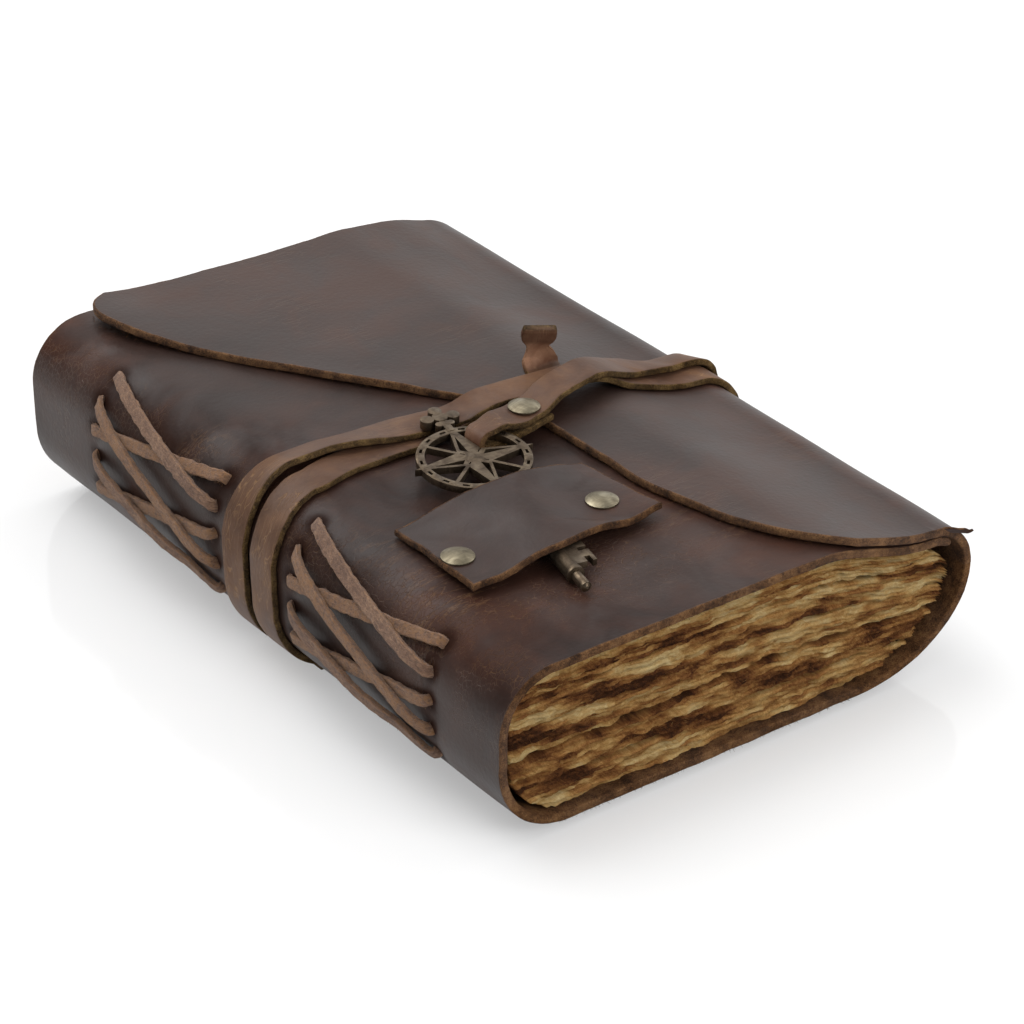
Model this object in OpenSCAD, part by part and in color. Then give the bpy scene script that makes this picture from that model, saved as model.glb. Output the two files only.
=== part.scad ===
// Leather wrap journal, closed and tied: one soft hide makes back, spine, front and flap,
// suede thongs lace the spine, and a riveted strap holds a compass key that locks in a keeper.
// x runs from the spine to the fore-edge, y from the tail to the head, z up from the table.

/* [Book] */
// Length of the spine, from tail to head
book_length = 205; // [195:1:215]
// Width from the spine to the fore-edge
book_width = 140; // [134:1:146]
// Height of the front cover at the tail
book_height = 42.6; // [40:0.2:46]
// How much higher the front cover lies at the head
head_rise = 4.5; // [2:0.1:4.6]
// Thickness of the hide
hide = 2.2; // [1.8:0.1:2.4]
// Outer radius of the spine at the back cover
spine_low_r = 19; // [15:0.5:19.5]
// Outer radius of the spine at the front cover
spine_top_r = 15.5; // [12:0.5:16]
// Outer radius of the fore-edge roll at the back cover
fore_low_r = 20; // [16:0.5:20]
// Outer radius of the fore-edge roll where the flap turns over
fore_top_r = 12.8; // [11:0.2:14]
// How far the covers fall towards the fore-edge
fore_fall = 7.2; // [4:0.2:8]
// Where the front cover starts to fall, from the spine
fall_start = 92; // [88:1:100]
// Angle past the top at which the front cover ends in the roll
front_end_angle = 35; // [20:1:45]
// Air between the front cover and the flap
flap_gap = 0.2; // [0.1:0.05:0.4]

/* [Flap] */
// Place of the flap's rounded point beside the spine
flap_point_x = 15.5; // [13:0.5:20]
// Place of that point along the spine
flap_point_y = 192; // [180:1:195]
// Distance of the flap's straight edge from the spine
flap_edge_x = 77.3; // [76:0.1:80]
// Where the flap's edge meets the tail, from the spine
flap_tail_x = 102; // [98:1:110]

/* [Pages] */
// Number of torn-edge gatherings of paper that the edge shows
sheets = 22; // [12:1:24]
// Gatherings that are sewn into one section
sheets_per_section = 4; // [3:1:6]
// How far the paper stays back from tail and head
page_inset = 1.6; // [1:0.1:4]
// Depth of the waves along the torn edges
deckle = 1.1; // [0.4:0.1:1.6]
// Air between the paper and the fore-edge roll
page_fore_gap = 3; // [2.5:0.1:6]
// Room inside the spine for the thong
thong_room = 2.2; // [2.1:0.1:3]
// Room over the paper for the rivets' backs
page_top_gap = 1.3; // [1.2:0.1:3]

/* [Lacing] */
// Width of the suede thong
thong_w = 4; // [3:0.1:4.6]
// Thickness of the suede thong
thong_t = 1.4; // [1:0.1:1.6]
// Holes in the spine, outside width
thong_hole_d = 5.4; // [5.2:0.1:5.8]
// Distance between the two rows of holes of one lacing
lacing_span = 56; // [50:1:58]
// Row of the tail lacing nearer the tail
tail_row_y = 27; // [22:1:30]
// Row of the head lacing nearer the tail
head_row_y = 117; // [116:1:122]

/* [Strap] */
// Width of the strap
strap_w = 9.6; // [8.4:0.1:9.8]
// Thickness of the strap
strap_t = 2; // [1.6:0.1:2]
// Width of the strap where it folds round the key's ring
fold_w = 6.6; // [6:0.1:6.8]
// Air between the strap and what it lies on
strap_seat = 0.1; // [0.05:0.05:0.2]
// Middle of the first turn at the spine
first_turn_y = 92.9; // [91:0.1:93.4]
// Middle of the second turn at the spine
second_turn_y = 105.3; // [104.8:0.1:106]
// Middle of the first turn at the fore-edge
first_fore_y = 95.2; // [94:0.1:95.2]
// Height of the knotted end above the flap
knot_h = 12; // [9:0.5:15]

/* [Key] */
// Outer diameter of the compass ring
ring_d = 28; // [26:0.5:28]
// Width of the ring's band
ring_band = 2.1; // [1.6:0.1:2.2]
// Thickness of ring and star
ring_t = 1.8; // [1.4:0.1:1.8]
// Reach of the star's points beyond the ring
point_reach = 1.5; // [0.5:0.1:2]
// Diameter of the shaft
shaft_d = 4.2; // [3.6:0.1:4.4]
// Length of the key from the star's middle to the tip
shaft_reach = 59.4; // [56:0.2:62]
// Diameter of the pin at the tip
tip_d = 2.6; // [2:0.1:3]
// Length of the pin at the tip
tip_l = 5.8; // [4:0.2:8]
// Reach of the bit from the shaft's axis
bit_reach = 6.2; // [5:0.2:7]
// Turn of the key on the cover
key_turn = 10.5; // [9:0.5:12]
// Slope of the key, which lies on its tip and on the strap
key_pitch = 2.7; // [2.6:0.1:2.9]

/* [Keeper] */
// Thickness of the keeper's leather
keeper_t = 1.8; // [1.4:0.1:2.2]
// Air under the keeper's ends
keeper_lift = 1.6; // [0.6:0.1:2]
// Half width of the keeper's arch over the key
keeper_arch = 17; // [14:0.5:17]
// Half width of the arch at the end where the ring lies under it
keeper_far_arch = 28; // [26:1:30]

/* [Rivets] */
// Diameter of the domed caps
cap_d = 8; // [7:0.1:8.4]
// Height of the dome
cap_h = 1.3; // [1:0.1:1.6]
// Diameter of the flat backs
back_d = 7; // [6:0.1:7.4]
// Thickness of the flat backs
back_t = 0.8; // [0.6:0.1:0.9]
// Diameter of the caps' tubes
tube_d = 3.4; // [3:0.1:4]
// Diameter of the pins in the tubes
pin_d = 2.4; // [2:0.1:2.6]
// Clearance of tubes in leather and of pins in tubes
rivet_clear = 0.1; // [0.05:0.05:0.15]

/* [Hidden] */
$fn = 64;
eps = 0.01;

// Heights and centres that the covers share
tilt = asin(head_rise / book_length);
fore_cx = book_width - fore_top_r;
fore_cz = book_height - fore_fall - fore_top_r + hide + flap_gap;
seam_high = min(fore_cz, book_height - spine_top_r) - 0.1;
seam_low = seam_high - head_rise - 0.2;
flap_h = hide + flap_gap;
// The upper half's walls stand this much inside the faces of the lower half's
seam_step = 0.03;
// Bends of the strap run in steps of a few degrees, far enough out to clear the leather between them
turn_step = 10;
bend_out = strap_t / 2 + 0.02 + 20 * (1 / cos(turn_step / 2) - 1);
// How far strap and thongs stand off the hide, and the middle of the footprint between them
strap_reach = bend_out + strap_t / 2;
thong_lift = 0.3;
thong_over = thong_t + 0.3;
thong_reach = thong_lift + thong_over + thong_t + 0.08;
middle = [(book_width + strap_reach - thong_reach) / 2, book_length / 2, -strap_reach];

// Smooth step from 0 to 1
function ease(s) = let(c = min(1, max(0, s))) c * c * (3 - 2 * c);
// Straight blend from a to b
function mix(a, b, s) = a + (b - a) * s;
// Height of the front cover's outer face at the tail
function front_z(x) = book_height - fore_fall * ease((x - fall_start) / (fore_cx - fall_start));
// Point of the upper half, which leans up towards the head
function leaned(p) = let(h = p[2] - book_height)
    [p[0], p[1] * cos(tilt) - h * sin(tilt), book_height + p[1] * sin(tilt) + h * cos(tilt)];
// Smooth curve through control points, with some points between each pair
function spline(c, n) = let(last = len(c) - 1) concat(
    [for (i = [0:last - 1], j = [0:n - 1]) let(
        p0 = c[max(0, i - 1)], p1 = c[i], p2 = c[i + 1], p3 = c[min(last, i + 2)], s = j / n)
        0.5 * (2 * p1 + (p2 - p0) * s + (2 * p0 - 5 * p1 + 4 * p2 - p3) * s * s
            + (3 * p1 - p0 - 3 * p2 + p3) * s * s * s)],
    [c[last]]);
// Value at x of a curve given as [x, value] pairs that rise in x
function at(c, x, i = 0) = i >= len(c) - 2 || x <= c[i + 1][0]
    ? mix(c[i][1], c[i + 1][1], ease((x - c[i][0]) / (c[i + 1][0] - c[i][0]))) : at(c, x, i + 1);
// Value at x of a smooth path given the same way
function path_at(c, x, i = 0) = i < len(c) - 2 && x > c[i + 1][0] ? path_at(c, x, i + 1)
    : let(p0 = c[max(0, i - 1)], p1 = c[i], p2 = c[i + 1], p3 = c[min(len(c) - 1, i + 2)],
        w = p2[0] - p1[0], s = (x - p1[0]) / w,
        m1 = w * (p2[1] - p0[1]) / (p2[0] - p0[0]), m2 = w * (p3[1] - p1[1]) / (p3[0] - p1[0]))
        p1[1] + m1 * s + (3 * (p2[1] - p1[1]) - 2 * m1 - m2) * s * s
            + (m1 + m2 - 2 * (p2[1] - p1[1])) * s * s * s;
function unit(v) = v / norm(v);

module leaning() {
    translate([0, 0, book_height])
        rotate([tilt, 0, 0])
            translate([0, 0, -book_height])
                children();
}

module along_spine(from, to) {
    translate([0, to, 0])
        rotate([90, 0, 0])
            linear_extrude(to - from)
                children();
}

// Strip of leather swept along stations, each [middle, width direction, width]
module strip(stations, thick) {
    n = len(stations);
    corners = [for (i = [0:n - 1]) let(
        before = stations[max(0, i - 1)][0],
        after = stations[min(n - 1, i + 1)][0],
        run = unit(after - before),
        side = unit(stations[i][1] - run * (stations[i][1] * run)),
        face = cross(run, side),
        half = side * stations[i][2] / 2,
        up = face * thick / 2)
        each [stations[i][0] - half - up, stations[i][0] + half - up,
            stations[i][0] + half + up, stations[i][0] - half + up]];
    walls = [for (i = [0:n - 2], k = [0:3]) let(a = 4 * i + k, b = 4 * i + (k + 1) % 4)
        each [[a, b, a + 4], [b, b + 4, a + 4]]];
    ends = [[3, 2, 1], [3, 1, 0], [4 * n - 4, 4 * n - 3, 4 * n - 2], [4 * n - 4, 4 * n - 2, 4 * n - 1]];
    polyhedron([for (p = corners) p - middle],
        [for (f = concat(walls, ends)) [f[2], f[1], f[0]]]);
}

// Moves a piece from the book's own corner to the middle of its footprint, on the table
module placed() {
    translate(-middle)
        children();
}

// Covers and flap

// Everything under a face that runs parallel to the front cover, lift above it, with its walls
// moved out by step
module under_face(lift, step) {
    roll_r = fore_top_r - flap_h + lift;
    fall_steps = 14;
    crown = [for (i = [0:fall_steps]) let(x = mix(fall_start, fore_cx, i / fall_steps)) [x, front_z(x) + lift]];
    intersection() {
        union() {
            polygon(concat([[spine_top_r, seam_low], [spine_top_r, book_height + lift]], crown,
                [[fore_cx, seam_low]]));
            translate([spine_top_r, book_height - spine_top_r])
                circle(spine_top_r + lift);
            translate([-lift - step, 0])
                square([spine_top_r + lift + step, book_height - spine_top_r]);
            translate([fore_cx, fore_cz])
                circle(roll_r);
            translate([fore_cx, 0])
                square([roll_r + step, fore_cz]);
        }
        translate([-book_width, seam_low])
            square([3 * book_width, 3 * book_height]);
    }
}

module front_section() {
    reach = 2 * fore_top_r;
    difference() {
        under_face(0, -seam_step);
        under_face(-hide, seam_step);
        polygon([[fore_cx, fore_cz],
            [fore_cx + reach * sin(front_end_angle), fore_cz + reach * cos(front_end_angle)],
            [fore_cx + 2 * reach, fore_cz + reach], [fore_cx + 2 * reach, 0], [fore_cx, 0]]);
    }
}

module flap_section() {
    difference() {
        under_face(flap_h, -seam_step);
        under_face(flap_gap, seam_step);
        translate([-book_width, 0])
            square([book_width + flap_point_x - 3, 2 * book_height]);
    }
}

module tray_region(inset) {
    intersection() {
        union() {
            translate([spine_low_r, inset])
                square([book_width - spine_low_r - fore_low_r, book_height]);
            translate([spine_low_r, spine_low_r])
                circle(spine_low_r - inset);
            translate([inset, spine_low_r])
                square([spine_low_r, book_height]);
            translate([book_width - fore_low_r, fore_low_r])
                circle(fore_low_r - inset);
            translate([book_width - fore_low_r, fore_low_r])
                square([fore_low_r - inset, book_height]);
        }
        square([book_width, seam_high + inset]);
    }
}

module tray_section() {
    intersection() {
        difference() {
            tray_region(0);
            tray_region(hide);
        }
        square([book_width, seam_high]);
    }
}

// Outline of the flap from above: head edge, point beside the spine, long diagonal, tail corner
flap_edge = spline([
    [flap_point_x + 12, book_length + 2],
    [flap_point_x + 6, book_length - 0.5],
    [flap_point_x + 1, book_length - 5],
    [flap_point_x, flap_point_y],
    [flap_point_x + 5.5, flap_point_y - 14],
    [mix(flap_point_x, flap_edge_x, 0.33), mix(flap_point_y, 98, 0.41)],
    [mix(flap_point_x, flap_edge_x, 0.62), mix(flap_point_y, 98, 0.69)],
    [flap_edge_x - 5.5, 102],
    [flap_edge_x - 0.8, 88],
    [flap_edge_x, 66],
    [flap_edge_x + 0.7, 48],
    [mix(flap_edge_x, flap_tail_x, 0.2), 29],
    [mix(flap_edge_x, flap_tail_x, 0.43), 14],
    [mix(flap_edge_x, flap_tail_x, 0.7), 5],
    [flap_tail_x, 0.4],
    [flap_tail_x + 8, -1]], 4);

module flap_outline() {
    polygon(concat(flap_edge, [[flap_tail_x + 8, -book_width / 4], [2 * book_width, -book_width / 4],
        [2 * book_width, book_length + 2]]));
}

// Heights of the thong holes on the spine, as shares of the book's height, for a lacing's two rows
head_row_z = [for (share = [0.953, 0.824, 0.66, 0.495, 0.319]) share * book_height];
tail_row_z = [for (share = [0.89, 0.742, 0.568, 0.399, 0.23]) share * book_height];

// Place on the spine's outer face at a height and a y, pushed out by some amount
function spine_at(z, y, out) =
    let(top_c = book_height - spine_top_r, zz = z + y * tan(tilt) * min(1, z / top_c))
    z > top_c
        ? let(a = asin(min(1, (z - top_c) / spine_top_r)))
            leaned([spine_top_r - (spine_top_r + out) * cos(a), y, top_c + (spine_top_r + out) * sin(a)])
        : zz < spine_low_r
            ? let(a = asin((spine_low_r - zz) / spine_low_r))
                [spine_low_r - (spine_low_r + out) * cos(a), y, spine_low_r - (spine_low_r + out) * sin(a)]
            : [-out, y, zz];
// Way out of the spine there, and the way up along it
function spine_out(z, y) = unit(spine_at(z, y, 1) - spine_at(z, y, 0));
function spine_up(z, y) = let(out = spine_out(z, y)) [out[2], 0, -out[0]];

module thong_holes(row_y) {
    for (i = [0:4], side = [0, 1]) {
        z = side == 0 ? tail_row_z[i] : head_row_z[i];
        y = row_y + side * lacing_span;
        p = spine_at(z, y, 0);
        out = spine_out(z, y);
        translate(p)
            rotate([0, 90 - atan2(out[2], out[0]), 0])
                cylinder(d = thong_hole_d, h = 4 * hide, center = true);
    }
}

module cover() {
    past = 10;
    color("#4a3029") placed() difference() {
        intersection() {
            union() {
                along_spine(-past, book_length + past)
                    tray_section();
                leaning() {
                    along_spine(-past, book_length + past)
                        front_section();
                    intersection() {
                        along_spine(-past, book_length + past)
                            flap_section();
                        linear_extrude(2 * book_height)
                            flap_outline();
                    }
                }
            }
            translate([-book_width, 0, -book_height])
                cube([3 * book_width, book_length, 3 * book_height]);
        }
        thong_holes(tail_row_y);
        thong_holes(head_row_y);
        for (at_xy = keeper_rivets) leaning()
            translate([at_xy[0], at_xy[1], book_height - 2 * hide])
                cylinder(d = tube_d + 2 * rivet_clear, h = 3 * hide);
    }
}

// Paper

page_low = hide + 0.1;
page_spine_x = hide + thong_room;
page_top_z = book_height - hide - page_top_gap;
page_end_x = fore_cx + fore_top_r - hide - page_fore_gap;
tail_steps = 30;
fore_steps = 5;
spine_steps = 2;

// Height of the paper's top at x, at the tail
function page_top(x) = front_z(min(x, fore_cx)) - hide - page_top_gap
    - 0.05 * pow(max(0, x - fore_cx), 2);
// Where a sheet starts beside the spine, at a share t of the height
function page_start(t) = let(
    z = mix(page_low, page_top_z, t),
    low_r = spine_low_r - page_low,
    top_r = page_top_z - (book_height - spine_top_r))
    z < spine_low_r ? page_spine_x + low_r - sqrt(max(0, pow(low_r, 2) - pow(spine_low_r - z, 2)))
    : z > book_height - spine_top_r
        ? page_spine_x + top_r - sqrt(max(0, pow(top_r, 2) - pow(z - (book_height - spine_top_r), 2)))
        : page_spine_x;
// Where a sheet ends at the fore-edge, within the roll; the lowest section lies further back
function page_end(t, section) = let(
    z = mix(page_low, page_top_z - fore_fall, t),
    low_r = fore_low_r - page_low)
    page_end_x - (section == 0 ? 2 : 0.4 * ((section * 7) % 3))
    - (low_r - sqrt(pow(low_r, 2) - pow(max(0, fore_low_r - z), 2)))
    - 7 * ease((t - 0.86) / 0.14);
// Waves of one torn edge, from 0 to about deckle
function torn(sheet, s) = deckle * (0.5 + 0.25 * sin(1.7 * s + 137 * sheet) + 0.15 * sin(4.9 * s + 71 * sheet)
    + 0.1 * sin(11 * s + 211 * sheet));
// One row of points round the sheets at a share t of the height
function page_row(t, sheet) = let(
    section = floor(sheet / sheets_per_section),
    first = sheet % sheets_per_section == 0 || sheet % sheets_per_section == sheets_per_section - 1,
    back = page_inset + (first ? 0.9 : 0) + 0.5 * ((sheet * 5) % 3),
    x0 = page_start(t),
    x1 = page_end(t, section),
    corner = function(x, y) [x, y, mix(page_low, page_top(x) + y * tan(tilt), t)])
    concat(
        [for (i = [0:tail_steps]) let(x = mix(x0, x1, i / tail_steps))
            corner(x, back + torn(sheet, 9 * x))],
        [for (i = [1:fore_steps]) let(y = mix(back + 2, book_length - back - 2, i / (fore_steps + 1)))
            corner(x1 - torn(sheet, 7 * y), y)],
        [for (i = [tail_steps:-1:0]) let(x = mix(x0, x1, i / tail_steps))
            corner(x, book_length - back - torn(sheet + 31, 9 * x))],
        [for (i = [spine_steps:-1:1]) let(y = mix(back + 2, book_length - back - 2, i / (spine_steps + 1)))
            corner(x0, y)]);

module page_block() {
    rows = [for (i = [0:sheets - 1]) each [
        page_row(i == 0 ? 0 : (i + 0.1) / sheets, i),
        page_row(i == sheets - 1 ? 1 : (i + 0.9) / sheets, i)]];
    n = len(rows[0]);
    m = len(rows);
    head = tail_steps + fore_steps + 1;
    cap = concat(
        [for (i = [1:tail_steps - 2]) let(a = i, b = i + 1, c = head + tail_steps - i - 1, d = c + 1)
            each [[a, b, c], [a, c, d]]],
        [for (k = [tail_steps:head]) [tail_steps - 1, k, k + 1]],
        [for (k = [head + tail_steps:n - 1]) [1, k - 1, k]],
        [[1, n - 1, 0]]);
    walls = [for (j = [0:m - 2], i = [0:n - 1]) let(a = j * n + i, b = j * n + (i + 1) % n)
        each [[a, a + n, b], [b, a + n, b + n]]];
    color("#b98a4c") placed()
        polyhedron([for (r = rows) each r],
            concat(walls, cap, [for (f = cap) [f[2] + (m - 1) * n, f[1] + (m - 1) * n, f[0] + (m - 1) * n]]));
}

// Lacing

// One pass of the thong over the spine, from one hole to another, bowed out where it crosses
// and close to the spine again over the last share of its way
function thong_pass(z0, y0, z1, y1, bow, close = 0) = [for (i = [0:9]) let(
    s = i / 9, y = mix(y0, y1, s), z = mix(z0, z1, s))
    [spine_at(z, y, thong_t / 2 + thong_lift + bow * ease(s / 0.13) * ease((1 - close - s) / 0.13)),
        spine_up(z, y), thong_w]];
// One short hop inside the spine from hole to hole, turned flat against the hide
function thong_hop(z0, z1, y) = [for (s = [0.1, 0.5, 0.9])
    [spine_at(mix(z0, z1, s), y, -hide - thong_t / 2 - 0.2), [0, 1, 0], thong_w]];
// An end of the thong, tucked in through its hole
function thong_end(z, y) = [[spine_at(z, y, -hide - 0.3), spine_up(z, y), thong_w]];

// The thong goes out and in through ten holes, with short hops inside
function thong_path(row) = let(a = head_row_z, b = tail_row_z, ya = row + lacing_span, yb = row, over = thong_over)
    concat(
        thong_end(b[0], yb),
        thong_pass(b[0], yb, a[2], ya, 0),
        thong_hop(a[2], a[3], ya),
        thong_pass(a[3], ya, b[4], yb, over, 0.26),
        thong_hop(b[4], b[3], yb),
        thong_pass(b[3], yb, a[1], ya, over),
        thong_hop(a[1], a[0], ya),
        thong_pass(a[0], ya, b[1], yb, over),
        thong_hop(b[1], b[2], yb),
        thong_pass(b[2], yb, a[4], ya, 0),
        thong_end(a[4], ya));

module thong(row) {
    strip(thong_path(row), thong_t);
}

module thong_tail() {
    color("#6f4f35") thong(tail_row_y);
}

module thong_head() {
    color("#6f4f35") thong(head_row_y);
}

// Strap

last_fore_y = first_fore_y + strap_w + 0.1;
swing_x = 85;
key_x = 48.5;
key_y = 76.4;
fold_h = 5.3;
fold_r = 2.2;
fold_x = 53.2;
fold_y = 82.9;
rivet_x = 71.4;
rivet_y = 87.5;
strap_dir = atan2(rivet_y - fold_y, rivet_x - fold_x);
layer = strap_t + 0.3;

// Paths across the top of the book, as y at each x
first_y = [[spine_top_r, first_turn_y], [36, first_turn_y + 1.5], [50, first_turn_y + 3.6],
    [66, first_turn_y + 5.7], [swing_x, first_turn_y + 6.7]];
second_y = [[spine_top_r, second_turn_y], [30, second_turn_y - 0.4], [50, second_turn_y - 1.7],
    [80, second_turn_y - 5.2], [110, first_fore_y + 1.6], [fore_cx, first_fore_y]];
// Height under each pass, above the front cover
first_h = [[0, 0], [flap_edge_x - 20, 0], [flap_edge_x - 10, flap_h], [book_width, flap_h]];
second_h = [[0, 0], [22, 0], [33, layer], [flap_edge_x - 22, layer], [flap_edge_x - 12, layer + flap_h],
    [97, layer + flap_h], [108, flap_h], [book_width, flap_h]];
last_h = [[0, fold_h + fold_r - strap_t / 2 - strap_seat], [61, fold_h + fold_r - strap_t / 2 - strap_seat],
    [67, 2.35 + flap_h], [76, 2.35 + flap_h], [81, 2 * layer + flap_h], [100, 2 * layer + flap_h],
    [112, layer + flap_h], [book_width, layer + flap_h]];

// Point of the strap's middle plane on the top of the book
function on_top(x, y, h) = leaned([x, y, front_z(x) + h + strap_seat + strap_t / 2]);
function top_run(xs, path, under) = [for (x = xs) [on_top(x, path_at(path, x), at(under, x)), level, strap_w]];
// Way across the strap where it lies level on the top of the book
level = [0, cos(tilt), sin(tilt)];
// Round the spine, down from the top, out by half the strap
function down_spine(y) = concat(
    [for (a = [90 - turn_step:-turn_step:0]) [leaned([spine_top_r - (spine_top_r + bend_out) * cos(a), y,
        book_height - spine_top_r + (spine_top_r + bend_out) * sin(a)]), level, strap_w]],
    [for (a = [0:turn_step:90]) [[spine_low_r - (spine_low_r + bend_out) * cos(a), y,
        spine_low_r - (spine_low_r + bend_out) * sin(a)], [0, 1, 0], strap_w]]);
// Up the fore-edge, from the underside to the top, rising off it by lift
function up_fore(y, lift) = concat(
    [for (a = [90:-turn_step:0]) [[book_width - fore_low_r + (fore_low_r + bend_out) * cos(a), y,
        fore_low_r - (fore_low_r + bend_out) * sin(a)], [0, 1, 0], strap_w]],
    [for (a = [5:turn_step:85]) let(out = bend_out + lift * ease(a / 60))
        [leaned([fore_cx + (fore_top_r + out) * cos(a), y, fore_cz + (fore_top_r + out) * sin(a)]),
            level, strap_w]]);

// The knotted end: flat under the turns, swung round and stood up with a waist
swing_r = 5.6;
swing_y = first_turn_y + 6.7;
knot_x = swing_x + swing_r;
knot_y = swing_y + swing_r + 1.6;
knot_stations = [
    [[knot_x - 1.2, knot_y - 1.4, knot_h], [-0.8, 0.56, 0.2], 8.4],
    [[knot_x - 0.8, knot_y - 0.2, knot_h - 2.4], [-0.8, 0.58, 0.16], 8.8],
    [[knot_x - 0.4, knot_y + 0.6, knot_h - 4.6], [-0.84, 0.52, 0.06], 6.2],
    [[knot_x, knot_y + 0.4, knot_h - 6.2], [-0.88, 0.45, 0], 6],
    [[knot_x + 0.1, knot_y + 0.2, knot_h - 8.4], [-0.94, 0.3, 0], 8.6],
    [[knot_x, knot_y - 0.1, 2.2], [-1, 0.05, 0], 10],
    [[knot_x, knot_y - 0.9, 0.7], [-1, 0, 0], 10]];
knot_part = concat(
    [for (s = knot_stations) [leaned([s[0][0], s[0][1], front_z(s[0][0]) + flap_h + strap_seat + strap_t / 2 + s[0][2]]),
        s[1], s[2]]],
    [for (a = [80:-16:0]) let(x = swing_x + swing_r * sin(a), y = swing_y + swing_r * (1 - cos(a)))
        [on_top(x, y, flap_h), [-sin(a), cos(a) * cos(tilt), cos(a) * sin(tilt)], strap_w]]);

// The last pass narrows, folds down through the ring and comes back under it
fold_back = [for (a = [0:22.5:180]) let(
    cx = fold_x + fold_r * cos(strap_dir), cy = fold_y + fold_r * sin(strap_dir))
    leaned([cx - fold_r * sin(a) * cos(strap_dir), cy - fold_r * sin(a) * sin(strap_dir),
        book_height + fold_h + fold_r * cos(a)])];
under_h = [[56, fold_h - fold_r - strap_t / 2 - strap_seat], [61, fold_h - fold_r - strap_t / 2 - strap_seat],
    [67, flap_h + 0.05], [90, flap_h + 0.05]];
function last_y(x) = path_at([[fold_x, fold_y], [rivet_x, rivet_y],
    [mix(rivet_x, fore_cx, 0.73), mix(rivet_y, last_fore_y, 0.67)], [fore_cx, last_fore_y]], x);
function last_w(x) = mix(fold_w, strap_w, ease((x - 57) / 10));

// Stations along the top, so close that one pass clears the next between them too
near_xs = [for (x = [84:-4:20]) x];
far_xs = concat([for (x = [124:-3:88]) x], near_xs);
strap_stations = concat(
    knot_part,
    top_run(concat([for (x = [80:-4:20]) x], [spine_top_r]), first_y, first_h),
    down_spine(first_turn_y),
    up_fore(first_fore_y, 0),
    top_run(concat(far_xs, [spine_top_r]), second_y, second_h),
    down_spine(second_turn_y),
    up_fore(last_fore_y, layer),
    [for (x = concat([for (x = [124:-3:88]) x], [84, 80, 76, 72, 68, 64, 61, 58]))
        [on_top(x, last_y(x), at(last_h, x)), level, last_w(x)]],
    [for (p = fold_back) [p, level, fold_w]],
    [for (x = [59, 61.5, 64, 68, 72, 77])
        [on_top(x, last_y(x), at(under_h, x)), level, last_w(x)]]);

module strap() {
    color("#5f4233") difference() {
        strip(strap_stations, strap_t);
        placed() leaning()
            translate([rivet_x, rivet_y, book_height])
                cylinder(d = tube_d + 2 * rivet_clear, h = 12);
    }
}

// Compass key, cast in one piece: drawn flat with its fleur towards +y

ring_r = ring_d / 2;
ring_in = ring_r - ring_band;
point_r = ring_r + point_reach;
elbow = [3, 3.3];
line_w = 0.9;
hub_r = 2.4;
key_h = shaft_d / 2 + 0.2 + (shaft_reach - tip_l) * sin(key_pitch);

// Quarter of the star: one solid half point, its outlined twin and a spoke
module star_quarter(spoke) {
    polygon([[0, 0], elbow, [0, point_r]]);
    difference() {
        polygon([[0, 0], [0, point_r], [-elbow[0], elbow[1]]]);
        polygon([[-0.45, 2.6], [-0.45, point_r - 5.2], [-elbow[0] + 0.95, elbow[1] + 0.6]]);
    }
    if (spoke)
        rotate(45)
            translate([-line_w / 2, norm(elbow) - 0.8])
                square([line_w, ring_in - norm(elbow) + 1.2]);
}

module ring_slots() {
    mid_r = ring_r - ring_band / 2;
    for (i = [0:15])
        rotate(22.5 * i + 11.25)
            intersection() {
                difference() {
                    circle(mid_r + 0.35);
                    circle(mid_r - 0.35);
                }
                polygon([[0, 0], [-0.13 * ring_d / 2, ring_d], [0.13 * ring_d / 2, ring_d]]);
            }
}

module bit() {
    difference() {
        square([bit_reach, 8.4]);
        translate([bit_reach - 2.4, -eps])
            square([1.4, 2]);
        translate([bit_reach - 2.4, 4.6])
            square([2.4 + eps, 1.3]);
    }
}

module key_flat() {
    translate([0, 0, -ring_t / 2]) {
        linear_extrude(ring_t) difference() {
            circle(ring_r);
            circle(ring_in);
            ring_slots();
        }
        linear_extrude(ring_t) {
            circle(hub_r);
            for (i = [0:3]) rotate(-90 * i) star_quarter(i != 1);
        }
    }
    // Stem and trefoil at the head of the key
    translate([-1, ring_r - ring_band / 2, -1])
        cube([2, 7, 2]);
    fleur_y = ring_r + 5.6;
    for (p = [[0, fleur_y, 1.9], [-3.4, fleur_y, 1.7], [3.4, fleur_y, 1.7], [0, fleur_y + 3, 1.7]])
        translate([p[0], p[1], -1.1])
            cylinder(r = p[2], h = 2.2, $fn = 32);
    for (side = [-1, 1])
        translate([side * 1.5, fleur_y - 3, -1])
            cylinder(r = 1, h = 2, $fn = 32);
    // Shaft with a collar, the bit and the pin at its tip
    rotate([90, 0, 0]) {
        translate([0, 0, ring_in])
            cylinder(d = shaft_d, h = shaft_reach - tip_l - ring_in);
        translate([0, 0, shaft_reach - tip_l - 1.2])
            cylinder(d = shaft_d + 0.2, h = 1.2);
        translate([0, 0, shaft_reach - tip_l - 0.2])
            cylinder(d = tip_d, h = tip_l + 0.2 - tip_d / 4);
        translate([0, 0, shaft_reach - tip_d / 2])
            sphere(d = tip_d);
    }
    translate([0, -(shaft_reach - tip_l - 1.8), 0.1])
        mirror([0, 0, 0])
            linear_extrude(1.7)
                bit();
}

module compass_key() {
    color("#7d7156") placed() leaning()
        translate([key_x, key_y, book_height + key_h])
            rotate([0, 0, -key_turn])
                rotate([key_pitch, 0, 0])
                    key_flat();
}

// Keeper and rivets

keeper_corners = [[16, 32], [73.2, 35.5], [71, 64], [17, 64.6]];
keeper_rivets = [[20.5, 44.2], [62.9, 45.4]];
keeper_steps = [28, 6];

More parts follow.
